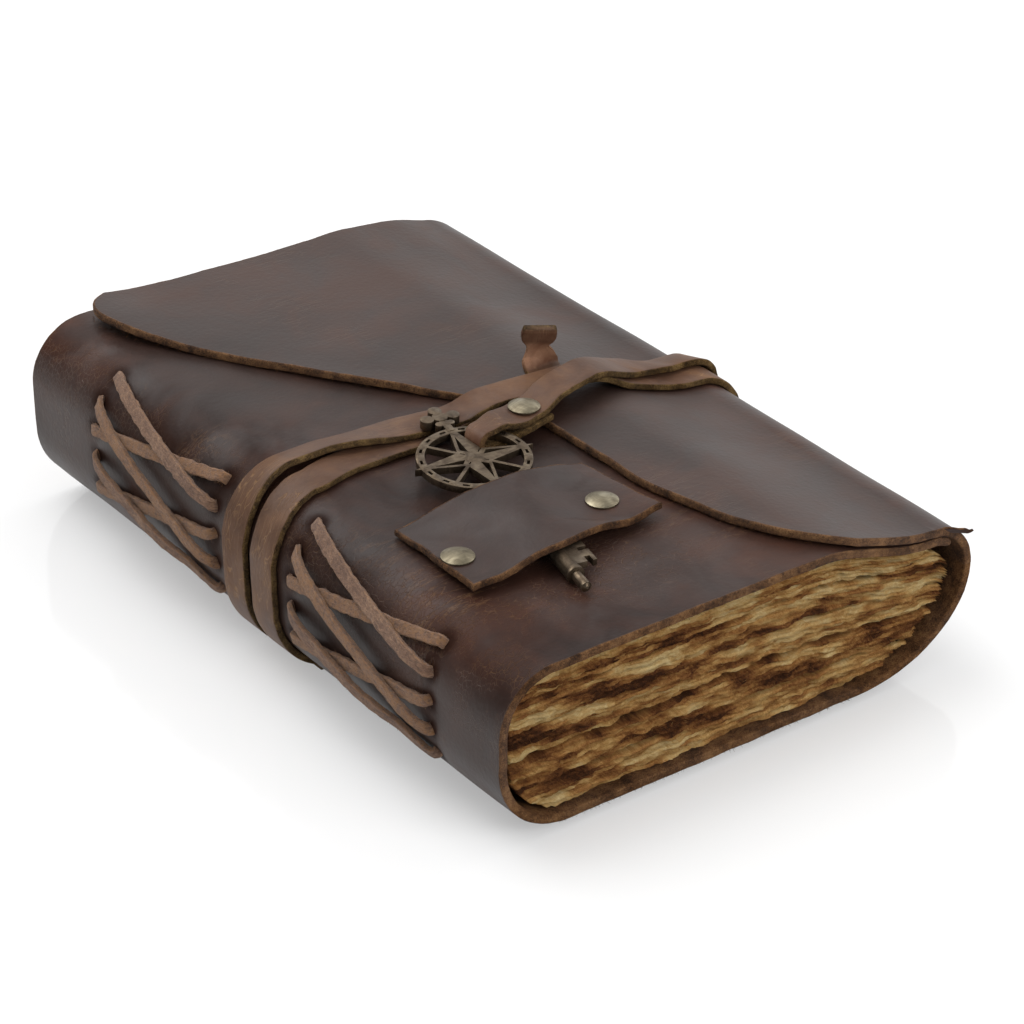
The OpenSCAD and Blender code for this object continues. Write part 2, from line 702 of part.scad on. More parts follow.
// How far a point of the cover lies across from the key's axis, and along it from the star
function across_key(x, y) = (x - key_x) * cos(key_turn) - (y - key_y) * sin(key_turn);
function along_key(x, y) = (x - key_x) * sin(key_turn) + (y - key_y) * cos(key_turn);
// Height of the keeper's underside over the cover: its ends low, its middle over the shaft
function keeper_h(x, y) = let(
    along = along_key(x, y),
    top = key_h + along * sin(key_pitch) + shaft_d / 2 + 0.15 - keeper_lift,
    arch = mix(keeper_arch, keeper_far_arch, ease((along + 24) / 12)),
    d = min(arch, abs(across_key(x, y))))
    keeper_lift + top * (1 + cos(180 * d / arch)) / 2;
// Point of the keeper at shares u and v of its outline
function keeper_at(u, v, up) = let(
    c = keeper_corners,
    p = mix(mix(c[0], c[1], u), mix(c[3], c[2], u), v))
    leaned([p[0], p[1], book_height + keeper_h(p[0], p[1]) + up]);

module keeper_patch() {
    nu = keeper_steps[0] + 1;
    nv = keeper_steps[1] + 1;
    size = nu * nv;
    points = [for (up = [0, keeper_t], j = [0:nv - 1], i = [0:nu - 1])
        keeper_at(i / (nu - 1), j / (nv - 1), up)];
    sheet = [for (j = [0:nv - 2], i = [0:nu - 2]) let(a = j * nu + i)
        each [[a, a + 1, a + nu + 1], [a, a + nu + 1, a + nu]]];
    rim = concat([for (i = [0:nu - 1]) i], [for (j = [1:nv - 1]) j * nu + nu - 1],
        [for (i = [nu - 2:-1:0]) (nv - 1) * nu + i], [for (j = [nv - 2:-1:1]) j * nu]);
    edge = [for (k = [0:len(rim) - 1]) let(a = rim[k], b = rim[(k + 1) % len(rim)])
        each [[a, a + size, b], [b, a + size, b + size]]];
    color("#4a332c") placed() difference() {
        polyhedron(points, concat(sheet, [for (f = sheet) [f[2] + size, f[1] + size, f[0] + size]], edge));
        for (at_xy = keeper_rivets) leaning()
            translate([at_xy[0], at_xy[1], book_height])
                cylinder(d = tube_d + 2 * rivet_clear, h = 12);
    }
}

// Domed cap with the tube that goes down through the leather
module rivet_cap(grip) {
    dome_r = (pow(cap_d / 2, 2) + pow(cap_h - 0.3, 2)) / (2 * (cap_h - 0.3));
    difference() {
        union() {
            cylinder(d = cap_d, h = 0.3 + eps);
            translate([0, 0, 0.3]) intersection() {
                translate([0, 0, cap_h - 0.3 - dome_r])
                    sphere(dome_r);
                cylinder(d = cap_d, h = cap_h);
            }
            translate([0, 0, -grip + rivet_clear])
                cylinder(d = tube_d, h = grip);
        }
        translate([0, 0, -grip - eps])
            cylinder(d = pin_d + 2 * rivet_clear, h = grip);
    }
}

// Flat back with the pin that is pressed up into the cap's tube
module rivet_back(grip) {
    translate([0, 0, -back_t])
        cylinder(d = back_d, h = back_t);
    translate([0, 0, -eps])
        cylinder(d = pin_d, h = grip - rivet_clear - eps);
}

function keeper_top(i) = keeper_h(keeper_rivets[i][0], keeper_rivets[i][1]) + keeper_t + 0.1;
back_seat = 0.1;
strap_low = at(under_h, rivet_x) + strap_seat;
strap_top = at(last_h, rivet_x) + layer;

module keeper_rivet_at(i, h) {
    placed() leaning()
        translate([keeper_rivets[i][0], keeper_rivets[i][1], book_height + h])
            children();
}

module keeper_cap_left() {
    color("#8a7d5a") keeper_rivet_at(0, keeper_top(0))
        rivet_cap(keeper_top(0) + hide + back_seat);
}

module keeper_back_left() {
    color("#8a7d5a") keeper_rivet_at(0, -hide - back_seat)
        rivet_back(keeper_top(0) + hide + back_seat);
}

module keeper_cap_right() {
    color("#8a7d5a") keeper_rivet_at(1, keeper_top(1))
        rivet_cap(keeper_top(1) + hide + back_seat);
}

module keeper_back_right() {
    color("#8a7d5a") keeper_rivet_at(1, -hide - back_seat)
        rivet_back(keeper_top(1) + hide + back_seat);
}

module strap_rivet_at(h) {
    placed() leaning()
        translate([rivet_x, rivet_y, front_z(rivet_x) + h])
            children();
}

module strap_cap() {
    color("#8a7d5a") strap_rivet_at(strap_top + 0.1)
        rivet_cap(strap_top + 0.1 - strap_low + back_seat);
}

module strap_back() {
    color("#8a7d5a") strap_rivet_at(strap_low - back_seat)
        rivet_back(strap_top + 0.1 - strap_low + back_seat);
}

cover();
page_block();
thong_tail();
thong_head();
strap();
keeper_patch();
compass_key();
keeper_cap_left();
keeper_back_left();
keeper_cap_right();
keeper_back_right();
strap_cap();
strap_back();
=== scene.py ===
import math

import bmesh
import bpy
import numpy as np
from mathutils import Matrix, Vector


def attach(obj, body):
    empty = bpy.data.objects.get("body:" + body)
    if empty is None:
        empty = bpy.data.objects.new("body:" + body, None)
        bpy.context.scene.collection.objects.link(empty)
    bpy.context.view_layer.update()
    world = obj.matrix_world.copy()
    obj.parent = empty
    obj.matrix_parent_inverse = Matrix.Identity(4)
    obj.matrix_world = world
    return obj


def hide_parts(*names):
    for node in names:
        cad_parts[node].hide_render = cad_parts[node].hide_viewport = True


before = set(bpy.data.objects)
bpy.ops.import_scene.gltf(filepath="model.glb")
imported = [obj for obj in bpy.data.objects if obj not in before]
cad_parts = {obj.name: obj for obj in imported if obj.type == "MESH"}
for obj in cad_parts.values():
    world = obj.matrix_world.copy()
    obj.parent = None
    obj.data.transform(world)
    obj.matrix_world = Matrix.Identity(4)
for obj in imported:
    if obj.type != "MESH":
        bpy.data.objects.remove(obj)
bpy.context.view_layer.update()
print("stage: frame loaded")

# The book's own coordinates are in mm: x from spine to fore-edge, y from tail to head, z up.
book = dict(length=205.0, width=140.0, height=42.6, headRise=4.5, hide=2.2, spineLow=19.0, spineTop=15.5,
            foreLow=20.0, foreTop=12.8, foreFall=7.2, fallStart=92.0, frontEnd=35.0, flapGap=0.2)
middle = np.array([69.308, 102.5, -2.0964])  # the book's corner to the middle of the footprint
tilt = math.asin(book["headRise"] / book["length"])
foreX = book["width"] - book["foreTop"]
flapRise = book["hide"] + book["flapGap"]
foreZ = book["height"] - book["foreFall"] - book["foreTop"] + flapRise
spineZ = book["height"] - book["spineTop"]


# Smooth step: c squared times (3 - 2c), with c held between 0 and 1
def ease(s):
    c = np.clip(s, 0, 1)
    return c * c * (3 - 2 * c)


def mix(a, b, s):
    return a + (b - a) * s


# Height of the front cover: level, then one smooth step down towards the fore-edge
def frontZ(x):
    return book["height"] - book["foreFall"] * ease((x - book["fallStart"]) / (foreX - book["fallStart"]))


# A point of the leaning upper half, turned by the tilt about the cover's tail edge
def leaned(x, y, z):
    h = z - book["height"]
    return np.stack([x + 0 * y + 0 * h, y * math.cos(tilt) - h * math.sin(tilt),
                     book["height"] + y * math.sin(tilt) + h * math.cos(tilt)], -1)


# The same, for the y at which the turned point has to lie
def leanedAt(x, y, z):
    h = z - book["height"]
    return leaned(x, (y + h * math.sin(tilt)) / math.cos(tilt), z)


# Catmull-Rom curve through the rows of c, with n steps between each pair
def spline(c, n):
    c = np.asarray(c, float)
    p = np.concatenate([c[:1], c, c[-1:]])
    s = (np.arange(n) / n)[None, :, None]
    p0, p1, p2, p3 = (p[i:len(c) - 1 + i, None, :] for i in range(4))
    body = 0.5 * (2 * p1 + (p2 - p0) * s + (2 * p0 - 5 * p1 + 4 * p2 - p3) * s ** 2
                  + (3 * p1 - p0 - 3 * p2 + p3) * s ** 3)
    return np.concatenate([body.reshape(-1, c.shape[1]), c[-1:]])


# Sum of sine waves in seeded directions, each about one wavelength long, scaled to about -1..1
def waves(p, wavelength, seed, count=9):
    rng = np.random.default_rng(seed)
    p = np.asarray(p, float)
    turn = rng.normal(size=(count, p.shape[-1]))
    turn /= np.linalg.norm(turn, axis=1, keepdims=True)
    k = turn * 2 * math.pi / (wavelength * rng.uniform(0.6, 1.6, (count, 1)))
    phase = rng.uniform(0, 2 * math.pi, count)
    return np.sin(p @ k.T + phase).sum(-1) / math.sqrt(count) * 0.8


# Sum of waves of several lengths, each with its height, from seeds one after another
def layered(p, seed, *sizes):
    return sum(height * waves(p, wavelength, seed + k) for k, (wavelength, height) in enumerate(sizes))


# Bell curve of a distance and its size, or of two distances at once
def bell(d, size, other=0, otherSize=1):
    return np.exp(-(d / size) ** 2 - (other / otherSize) ** 2)


# Distance from the first point to each point of a row
def runLength(p):
    return np.concatenate([[0], np.cumsum(np.linalg.norm(np.diff(p, axis=0), axis=1))])


def unit(v):
    return v / np.maximum(np.linalg.norm(v, axis=-1, keepdims=True), 1e-9)


# Puts points, in book mm, and faces into a mesh at the origin, with attributes and a UV map in mm
def makePiece(name, points, faces, material, nodes=(), values=None, uv=None):
    mesh = bpy.data.meshes.new(name)
    points = (np.asarray(points, float).reshape(-1, 3) - middle) / 1000
    counts = np.concatenate([np.full(len(f), f.shape[1]) for f in faces])
    loops = np.concatenate([f.reshape(-1) for f in faces]).astype(np.int32)
    mesh.vertices.add(len(points))
    mesh.vertices.foreach_set("co", points.reshape(-1))
    mesh.loops.add(len(loops))
    mesh.loops.foreach_set("vertex_index", loops)
    mesh.polygons.add(len(counts))
    mesh.polygons.foreach_set("loop_start", np.concatenate([[0], np.cumsum(counts)[:-1]]).astype(np.int32))
    mesh.polygons.foreach_set("use_smooth", np.ones(len(counts), bool))
    mesh.update(calc_edges=True)
    for key, value in (values or {}).items():
        layer = mesh.attributes.new(key, "FLOAT", "POINT")
        layer.data.foreach_set("value", np.asarray(value, np.float32).reshape(-1))
    if uv is not None:
        layer = mesh.uv_layers.new(name="mm")
        layer.data.foreach_set("uv", np.asarray(uv, float).reshape(-1, 2)[loops].reshape(-1))
    mesh.validate()
    piece = bpy.data.objects.new(name, mesh)
    bpy.context.collection.objects.link(piece)
    mesh.materials.append(material)
    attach(piece, "root")
    if nodes:
        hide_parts(*nodes)
    return piece


# Quads of a grid of rows and columns; ring closes the columns
def gridFaces(rows, columns, ring=False, start=0):
    r = np.arange(rows - 1)[:, None]
    c = np.arange(columns if ring else columns - 1)[None, :]
    n = (c + 1) % columns
    return np.stack(np.broadcast_arrays(r * columns + c, r * columns + n, (r + 1) * columns + n,
                                        (r + 1) * columns + c), -1).reshape(-1, 4) + start


# Outward direction of a grid of points: cross product of its two gradients
def gridNormals(p):
    return unit(np.cross(np.gradient(p, axis=0), np.gradient(p, axis=1)))


# Distances from a cut edge at which rows lie, close together on its rounding
edgeRows = np.array([0, 0.05, 0.16, 0.36, 0.7, 1.2, 2.0, 3.1])


# Sheet of leather between a grid of outer points and the same grid pushed in by its thickness.
# Towards a cut edge the half thickness shrinks as (1 - (1 - d/r)^4)^(1/4), which rounds the edge.
def leatherSheet(name, outer, normal, thickness, edge, material, nodes, uv, values=None, rounding=0.7):
    rows, columns = edge.shape
    k = (1 - (1 - np.clip(edge / rounding, 0.004, 1)) ** 4) ** 0.25
    half = thickness / 2
    top = outer - normal * (half * (1 - k))[..., None]
    low = outer - normal * (half * (1 + k))[..., None]
    size = rows * columns
    faces = gridFaces(rows, columns)
    rim = np.concatenate([np.arange(columns - 1), np.arange(rows - 1) * columns + columns - 1,
                          size - 1 - np.arange(columns - 1), (rows - 1 - np.arange(rows - 1)) * columns])
    after = np.roll(rim, -1)
    band = np.stack([rim, rim + size, after + size, after], -1)
    cut = np.concatenate([np.clip(1 - (edge - 0.35) / 0.35, 0, 1).reshape(-1), np.ones(size)])
    both = {"cut": cut}
    for key, value in (values or {}).items():
        both[key] = np.concatenate([value.reshape(-1)] * 2)
    return makePiece(name, np.concatenate([top.reshape(-1, 3), low.reshape(-1, 3)]),
                     [faces[:, ::-1], faces + size, band[:, ::-1]], material, nodes, both,
                     np.concatenate([uv.reshape(-1, 2)] * 2))


# Materials: node trees over Object coordinates in mm, or along the strip's own UV map

# Gives the function that adds a node; a value that is a socket is linked, anything else is set
def adder(tree):
    tree.nodes.clear()

    def add(kind, inputs=None, out=0, **settings):
        node = tree.nodes.new(kind)
        for key, value in settings.items():
            setattr(node, key, value)
        for key, value in (inputs or {}).items():
            socket = node.inputs[key]
            if isinstance(value, bpy.types.NodeSocket):
                tree.links.new(value, socket)
            else:
                socket.default_value = value
        return node.outputs[out] if out is not None else node

    return add


def painter(name):
    material = bpy.data.materials.new(name)
    material.use_nodes = True
    return material, adder(material.node_tree)


def colour(r, g, b):
    return (r, g, b, 1)


def noise(add, vector, size, detail=3, rough=0.55, distortion=0):
    return add("ShaderNodeTexNoise", {"Vector": vector, "Scale": 1 / size, "Detail": detail,
                                      "Roughness": rough, "Distortion": distortion})


def sums(add, operation, a, b, clamp=False):
    return add("ShaderNodeMath", {0: a, 1: b}, operation=operation, use_clamp=clamp)


def times(add, a, b, clamp=False):
    return sums(add, "MULTIPLY", a, b, clamp)


# Sum of values, each times its share
def weighted(add, *parts):
    total = None
    for value, share in parts:
        value = value if share == 1 else times(add, value, share)
        total = value if total is None else sums(add, "ADD", total, value)
    return total


def blend(add, share, a, b):
    return add("ShaderNodeMix", {0: share, 6: a, 7: b}, out=2, data_type="RGBA")


# What the mesh carries under a name, such as the share of cut edge
def carried(add, name):
    return add("ShaderNodeAttribute", out=2, attribute_name=name)


def between(add, value, low, high, toLow=0.0, toHigh=1.0):
    return add("ShaderNodeMapRange", {"Value": value, "From Min": low, "From Max": high, "To Min": toLow,
                                      "To Max": toHigh}, interpolation_type="SMOOTHSTEP")


def ramp(add, value, stops):
    stops = list(stops)
    node = add("ShaderNodeValToRGB", {"Fac": value}, out=None)
    band = node.color_ramp
    while len(band.elements) < len(stops):
        band.elements.new(0.5)
    for element, (place, tint) in zip(band.elements, stops):
        element.position = place
        element.color = colour(*tint)
    return node.outputs[0]


# Object coordinates in mm, stretched along each axis
def inMm(add, stretch=(1, 1, 1)):
    scale = tuple(1000 / s for s in stretch)
    return add("ShaderNodeVectorMath", {0: add("ShaderNodeTexCoord", out=3), 1: scale}, operation="MULTIPLY")


# The piece's own UV, in mm, stretched along the strip
def alongStrip(add, stretch):
    return add("ShaderNodeVectorMath", {0: add("ShaderNodeUVMap", uv_map="mm"),
                                        1: (1 / stretch, 1, 1)}, operation="MULTIPLY")


def finishSurface(add, base, roughness, height, distance, strength=1.0, metallic=0.0, specular=0.5,
                  sheen=0.0):
    bump = add("ShaderNodeBump", {"Height": height, "Distance": distance / 1000, "Strength": strength})
    shader = add("ShaderNodeBsdfPrincipled", {
        "Base Color": base, "Roughness": roughness, "Normal": bump, "Metallic": metallic,
        "Specular IOR Level": specular, "Sheen Weight": sheen, "Sheen Roughness": 0.6})
    add("ShaderNodeOutputMaterial", {"Surface": shader}, out=None)


leatherLook = dict(
    dark=(0.017, 0.0080, 0.0060), mid=(0.034, 0.0150, 0.0105), red=(0.062, 0.0235, 0.0135),
    worn=(0.165, 0.090, 0.042), cut=(0.094, 0.043, 0.018), cutPale=(0.215, 0.110, 0.045),
    cutDark=(0.024, 0.0115, 0.006), bloomAndSheen=(0.029, 0.0185, 0.0150))
strapLook = dict(
    dark=(0.048, 0.0235, 0.0150), mid=(0.098, 0.050, 0.0300), red=(0.160, 0.082, 0.041),
    worn=(0.34, 0.200, 0.090), cut=(0.080, 0.046, 0.017), cutPale=(0.190, 0.118, 0.046),
    cutDark=(0.026, 0.0145, 0.006), bloomAndSheen=(0.029, 0.0185, 0.0150), flesh=(0.130, 0.055, 0.031),
    fleshPale=(0.33, 0.180, 0.110))
suedeLook = [(0.38, (0.064, 0.032, 0.020)), (0.47, (0.145, 0.074, 0.044)), (0.55, (0.225, 0.126, 0.074)),
             (0.64, (0.35, 0.212, 0.126))]
paperLook = [(0.34, (0.055, 0.019, 0.007)), (0.42, (0.210, 0.077, 0.024)), (0.52, (0.470, 0.218, 0.066)),
             (0.62, (0.720, 0.430, 0.150)), (0.75, (0.920, 0.720, 0.360))]


# Pull-up leather: broad cloudy tones, reddish where it was rubbed, pale scuffs and creases, tan cut edges, a
# grey tint that is partly wax bloom and partly painted sheen, and painted shade where the mesh carries it
def pullUpLeather(name, look, wornShare=0.5, strip=False, gloss=0.44, creased=1.0):
    material, add = painter(name)
    place = inMm(add)
    cloud = noise(add, place, 15, 5, 0.6, 0.8)
    rubbed, dark, bloomSheenShare, cut = (carried(add, key) for key in ("rubbed", "shade", "bloomSheenShare", "cut"))
    tone = weighted(add, (noise(add, place, 62, 3, 0.5, 0.6), 0.55), (cloud, 0.45))
    base = ramp(add, tone, [(0.38, look["dark"]), (0.50, look["mid"]), (0.63, look["red"])])
    # Creases are where a drawn-out noise passes through its middle value
    stretched = alongStrip(add, 7) if strip else inMm(add, (9, 1.6, 3))
    line = sums(add, "SUBTRACT", noise(add, stretched, 2.2, 4, 0.6, 0.5), 0.5)
    crease = between(add, sums(add, "ABSOLUTE", line, 0), 0.03, 0.0)
    where = between(add, noise(add, place, 34, 2, 0.5, 0.4), 0.52, 0.68)
    crease = times(add, crease, times(add, where, creased))
    crease = times(add, crease, sums(add, "ADD", rubbed, 0.30))
    # Cracks of the finish lie on the borders of small cells, in the rubbed places alone
    cells = stretched if strip else inMm(add, (1.9, 0.9, 1))
    bend = add("ShaderNodeTexNoise", {"Vector": place, "Scale": 1 / 3, "Detail": 2}, out=1)
    bent = add("ShaderNodeVectorMath", {0: cells, 1: bend}, operation="ADD")
    border = add("ShaderNodeTexVoronoi", {"Vector": bent, "Scale": 1 / 1.4, "Randomness": 1.0},
                 feature="DISTANCE_TO_EDGE")
    crack = times(add, between(add, border, 0.055, 0.0), between(add, cloud, 0.42, 0.58))
    crack = times(add, crack, between(add, rubbed, 0.10, 0.45))
    scuff = between(add, noise(add, inMm(add, (3, 1, 1)), 3.2, 6, 0.72, 1.2), 0.58, 0.80)
    worn = between(add, noise(add, place, 26, 4, 0.6, 0.9), 0.52, 0.74)
    scuff = times(add, scuff, sums(add, "ADD", times(add, worn, wornShare), rubbed, True), True)
    for mark, share, tint in ((scuff, 0.85, "worn"), (crease, 0.55, "worn"), (crack, 0.42, "worn"),
                              (rubbed, 0.30, "red")):
        base = blend(add, times(add, mark, share, True), base, colour(*look[tint]))
    # Grey tint, partly wax bloom and partly a painted sheen standing in for reflected light
    base = blend(add, times(add, bloomSheenShare, 0.50), base, colour(*look["bloomAndSheen"]))
    # Cut edges and flesh side: matted fibres, from dark to pale tan
    fibre = noise(add, place, 0.55, 5, 0.75, 1.5)
    raw = ramp(add, weighted(add, (fibre, 0.6), (noise(add, place, 5, 3, 0.6), 0.4)),
               [(0.41, look["cutDark"]), (0.50, look["cut"]), (0.61, look["cutPale"])])
    base = blend(add, cut, base, raw)
    if strip:  # the flesh side of the strap, pale and matt
        skin = ramp(add, cloud, [(0.38, look["flesh"]), (0.62, look["fleshPale"])])
        base = blend(add, carried(add, "flesh"), base, skin)
    # Painted shade: darker towards the darkest tone round the thong holes and on the knot's turned end
    base = blend(add, times(add, dark, 0.75, True), base, colour(*look["dark"]))
    # Relief of fine grain, pores and soft unevenness, with creases and cracks sunk and cut fibres raised
    pore = add("ShaderNodeTexVoronoi", {"Vector": place, "Scale": 1 / 1.3, "Randomness": 1.0})
    height = weighted(add, (noise(add, place, 1.1, 3, 0.6), 0.4), (pore, 0.25), (cloud, 1.2))
    height = sums(add, "SUBTRACT", height, times(add, sums(add, "ADD", crease, crack), 0.8))
    height = weighted(add, (height, 1), (times(add, fibre, cut), 3.0))
    rough = sums(add, "ADD", weighted(add, (cloud, 0.20), (scuff, 0.22)), gloss - 0.1)
    rough = sums(add, "ADD", rough, times(add, cut, 0.5), True)
    # Wax lies unevenly. Its reflection is taken away at the holes, where shade is painted, and is evenly more
    # on the parts with grey bloom and painted sheen
    waxed = between(add, noise(add, place, 30, 3, 0.55, 1.0), 0.36, 0.62, 0.08, 0.28)
    waxed = times(add, waxed, between(add, dark, 0, 1, 1.0, 0.1))
    waxed = times(add, waxed, between(add, bloomSheenShare, 0, 1, 1.0, 0.0))
    waxed = weighted(add, (waxed, 1), (bloomSheenShare, 0.42))
    finishSurface(add, base, rough, height, 0.16, 0.75, specular=waxed)
    return material


# Suede: short nap in matted streaks along the thong, with golden rims at its cut edges
def suedeThong(name):
    material, add = painter(name)
    place = inMm(add)
    nap = noise(add, alongStrip(add, 3), 0.45, 7, 0.8, 0.8)
    base = ramp(add, weighted(add, (nap, 0.78), (noise(add, place, 7, 4, 0.6, 0.6), 0.22)), suedeLook)
    rim = between(add, noise(add, place, 1.2, 4, 0.7, 0.8), 0.40, 0.60)
    rim = times(add, times(add, carried(add, "cut"), rim), 0.8, True)
    base = blend(add, rim, base, colour(0.25, 0.122, 0.048))
    finishSurface(add, base, 0.88, nap, 0.6, specular=0.2, sheen=0.15)
    return material


# Antique brass: brown patina in the lows, bare metal on the highs, fine scratches
def antiqueBrass(name, tints, size, bump):
    material, add = painter(name)
    place = inMm(add)
    cloud = noise(add, place, size, 5, 0.6, 0.7)
    scratch = noise(add, inMm(add, (6, 0.5, 1)), 0.7, 3, 0.6, 0.3)
    base = ramp(add, weighted(add, (cloud, 0.75), (scratch, 0.25)), zip((0.34, 0.50, 0.66), tints))
    rough = between(add, cloud, 0.35, 0.7, 0.50, 0.34)
    height = weighted(add, (noise(add, place, 0.45, 4, 0.7), 0.5), (scratch, 0.5))
    finishSurface(add, base, rough, height, bump, 0.7, metallic=0.92)
    return material


# Handmade rag paper: torn edges from dark stain through rust and gold to cream, drawn out along the sheets,
# with painted shade in the gaps between them
def ragPaper(name):
    material, add = painter(name)
    place = inMm(add)
    streak = noise(add, alongStrip(add, 3.2), 0.8, 7, 0.8, 1.6)
    fleck = noise(add, place, 0.55, 6, 0.8, 1.8)
    stain = noise(add, place, 8, 4, 0.65, 0.9)
    tone = sums(add, "SUBTRACT", carried(add, "tone"), 0.5)
    base = ramp(add, weighted(add, (streak, 0.46), (fleck, 0.34), (stain, 0.20), (tone, 0.30)), paperLook)
    # Painted shade: the rows pushed in between sheets and sections are darkened nearly to black
    gapShade = times(add, carried(add, "gapShade"), 0.95, True)
    base = blend(add, gapShade, base, colour(0.030, 0.013, 0.006))
    finishSurface(add, base, 0.93, sums(add, "ADD", streak, fleck), 0.7, specular=0.15)
    return material


coverLeather = pullUpLeather("chocolate leather", leatherLook, 0.45)
keeperLeather = pullUpLeather("keeper leather", leatherLook, 0.15, creased=0.3)
strapLeather = pullUpLeather("strap leather", strapLook, 1.0, strip=True, gloss=0.50, creased=0.8)
suede = suedeThong("brown suede")
brass = antiqueBrass("antique brass", ((0.050, 0.034, 0.022), (0.128, 0.094, 0.063), (0.21, 0.162, 0.108)),
                     3.0, 0.025)
capBrass = antiqueBrass("rubbed brass", ((0.100, 0.082, 0.052), (0.205, 0.175, 0.118), (0.34, 0.30, 0.21)),
                        4.0, 0.02)
paper = ragPaper("torn rag paper")
print("stage: materials")

# The hide: one sheet from the front cover's end in the roll, over the front, round the spine,
# along the back, round the fore-edge and over the front again as the flap

fold = dict(headLift=3.2, headSag=0.8, cornerLift=2.0, headFrom=95.0, drawIn=2.0, tailFrom=85.0,
            tailOver=60.0, lowFrom=60.0, lowWide=15.0, lowHigh=4.6, strapY=96.0, strapReach=26.0)
flap = dict(pointX=15.5, pointY=192.0, edgeX=77.3, tailX=102.0, kneeY=98.0, liftAtEdge=0.5)
lacing = dict(width=3.3, atHole=2.8, thickness=1.4, span=56.0, rows=(27.0, 117.0), lift=0.3, over=1.7,
              farZ=[h * book["height"] for h in (0.953, 0.824, 0.66, 0.495, 0.319)],
              nearZ=[h * book["height"] for h in (0.89, 0.742, 0.568, 0.399, 0.23)])
wearAndSheen = dict(spine=0.35, corner=0.55, cornerAt=(42, 28), cornerSize=(38, 19), edge=0.22, pucker=0.55,
            bloomSheenTail=0.45, bloomSheenHead=0.70, bloomSheenFlap=0.85, bloomSheenSpine=0.75)


# Towards the head the top stays level for longer, with a slight sag across its middle
def headRise(x, y):
    return (fold["headLift"] * ease((y - 130) / 75) * bell(x - 118, 13)
            - fold["headSag"] * ease((y - 150) / 55) * bell(x - 72, 26))


# Place of the flap's edge, as x for each y, from the curve through its outline
def flapEdge(y):
    px, py, ex, tx, ky = (flap[k] for k in ("pointX", "pointY", "edgeX", "tailX", "kneeY"))
    end = book["length"]
    line = spline([[px + 12, end + 2], [px + 6, end - 0.5], [px + 1, end - 5], [px, py], [px + 5.5, py - 14],
                   [mix(px, ex, 0.33), mix(py, ky, 0.41)], [mix(px, ex, 0.62), mix(py, ky, 0.69)],
                   [ex - 5.5, 102], [ex - 0.8, 88], [ex, 66],
                   [ex + 0.7, 48], [mix(ex, tx, 0.2), 29], [mix(ex, tx, 0.43), 14], [mix(ex, tx, 0.7), 5],
                   [tx, 0.4], [tx + 8, -1]], 12)
    order = np.argsort(line[:, 1])
    return np.interp(y, line[order, 1], line[order, 0])


# Place on the spine's outer face at a height and a y, pushed out: the round, the wall or the low round
def spineAt(z, y, out):
    z, y, out = np.broadcast_arrays(np.asarray(z, float), np.asarray(y, float), np.asarray(out, float))
    r, low = book["spineTop"], book["spineLow"]
    shifted = z + y * math.tan(tilt) * np.minimum(1, z / spineZ)
    a = np.arcsin(np.clip((z - spineZ) / r, 0, 1))
    top = leaned(r - (r + out) * np.cos(a), y, spineZ + (r + out) * np.sin(a))
    b = np.arcsin(np.clip((low - shifted) / low, 0, 1))
    foot = np.stack([low - (low + out) * np.cos(b), y, low - (low + out) * np.sin(b)], -1)
    wall = np.stack([-out, y, shifted], -1)
    return np.where((z > spineZ)[..., None], top, np.where((shifted < low)[..., None], foot, wall))


# The hide's section but for the flap: arcs of the rounds and lines between them. Each row holds x, the
# lower z, the upper z, the share of the upper, and the outward direction in the section.
def hideSection():
    r = book
    quarter = np.radians(np.linspace(0, 90, 17))
    sin, cos = np.sin(quarter), np.cos(quarter)
    crown = np.linspace(foreX, r["spineTop"], 86)
    turn = np.radians(np.linspace(r["frontEnd"], 0, 7)[:-1])
    roll = r["foreTop"] - flapRise
    flapTurn = np.radians(np.linspace(0, 90, 15))
    wall = np.array([0.25, 0.5, 0.75])
    back = np.linspace(r["spineLow"], r["width"] - r["foreLow"], 42)[1:-1]
    parts = [
        (foreX + roll * np.sin(turn), 0, foreZ + roll * np.cos(turn), 1, np.sin(turn), np.cos(turn)),
        (crown, 0, frontZ(crown), 1, -np.gradient(frontZ(crown), crown), 1),
        (r["spineTop"] - r["spineTop"] * sin[1:], 0, spineZ + r["spineTop"] * cos[1:], 1, -sin[1:], cos[1:]),
        (0 * wall, r["spineLow"], spineZ, 1 - wall, -1, 0),
        (r["spineLow"] * (1 - cos), r["spineLow"] * (1 - sin), 0, 0, -cos, -sin),
        (back, 0, 0, 0, 0, -1),
        (r["width"] - r["foreLow"] + r["foreLow"] * sin, r["foreLow"] * (1 - cos), 0, 0, sin, -cos),
        (r["width"] + 0 * wall[1:2], r["foreLow"], foreZ, wall[1:2], 1, 0),
        (foreX + r["foreTop"] * np.cos(flapTurn), 0, foreZ + r["foreTop"] * np.sin(flapTurn), 1,
         np.cos(flapTurn), np.sin(flapTurn))]
    return np.concatenate([np.stack(np.broadcast_arrays(*part), -1) for part in parts])


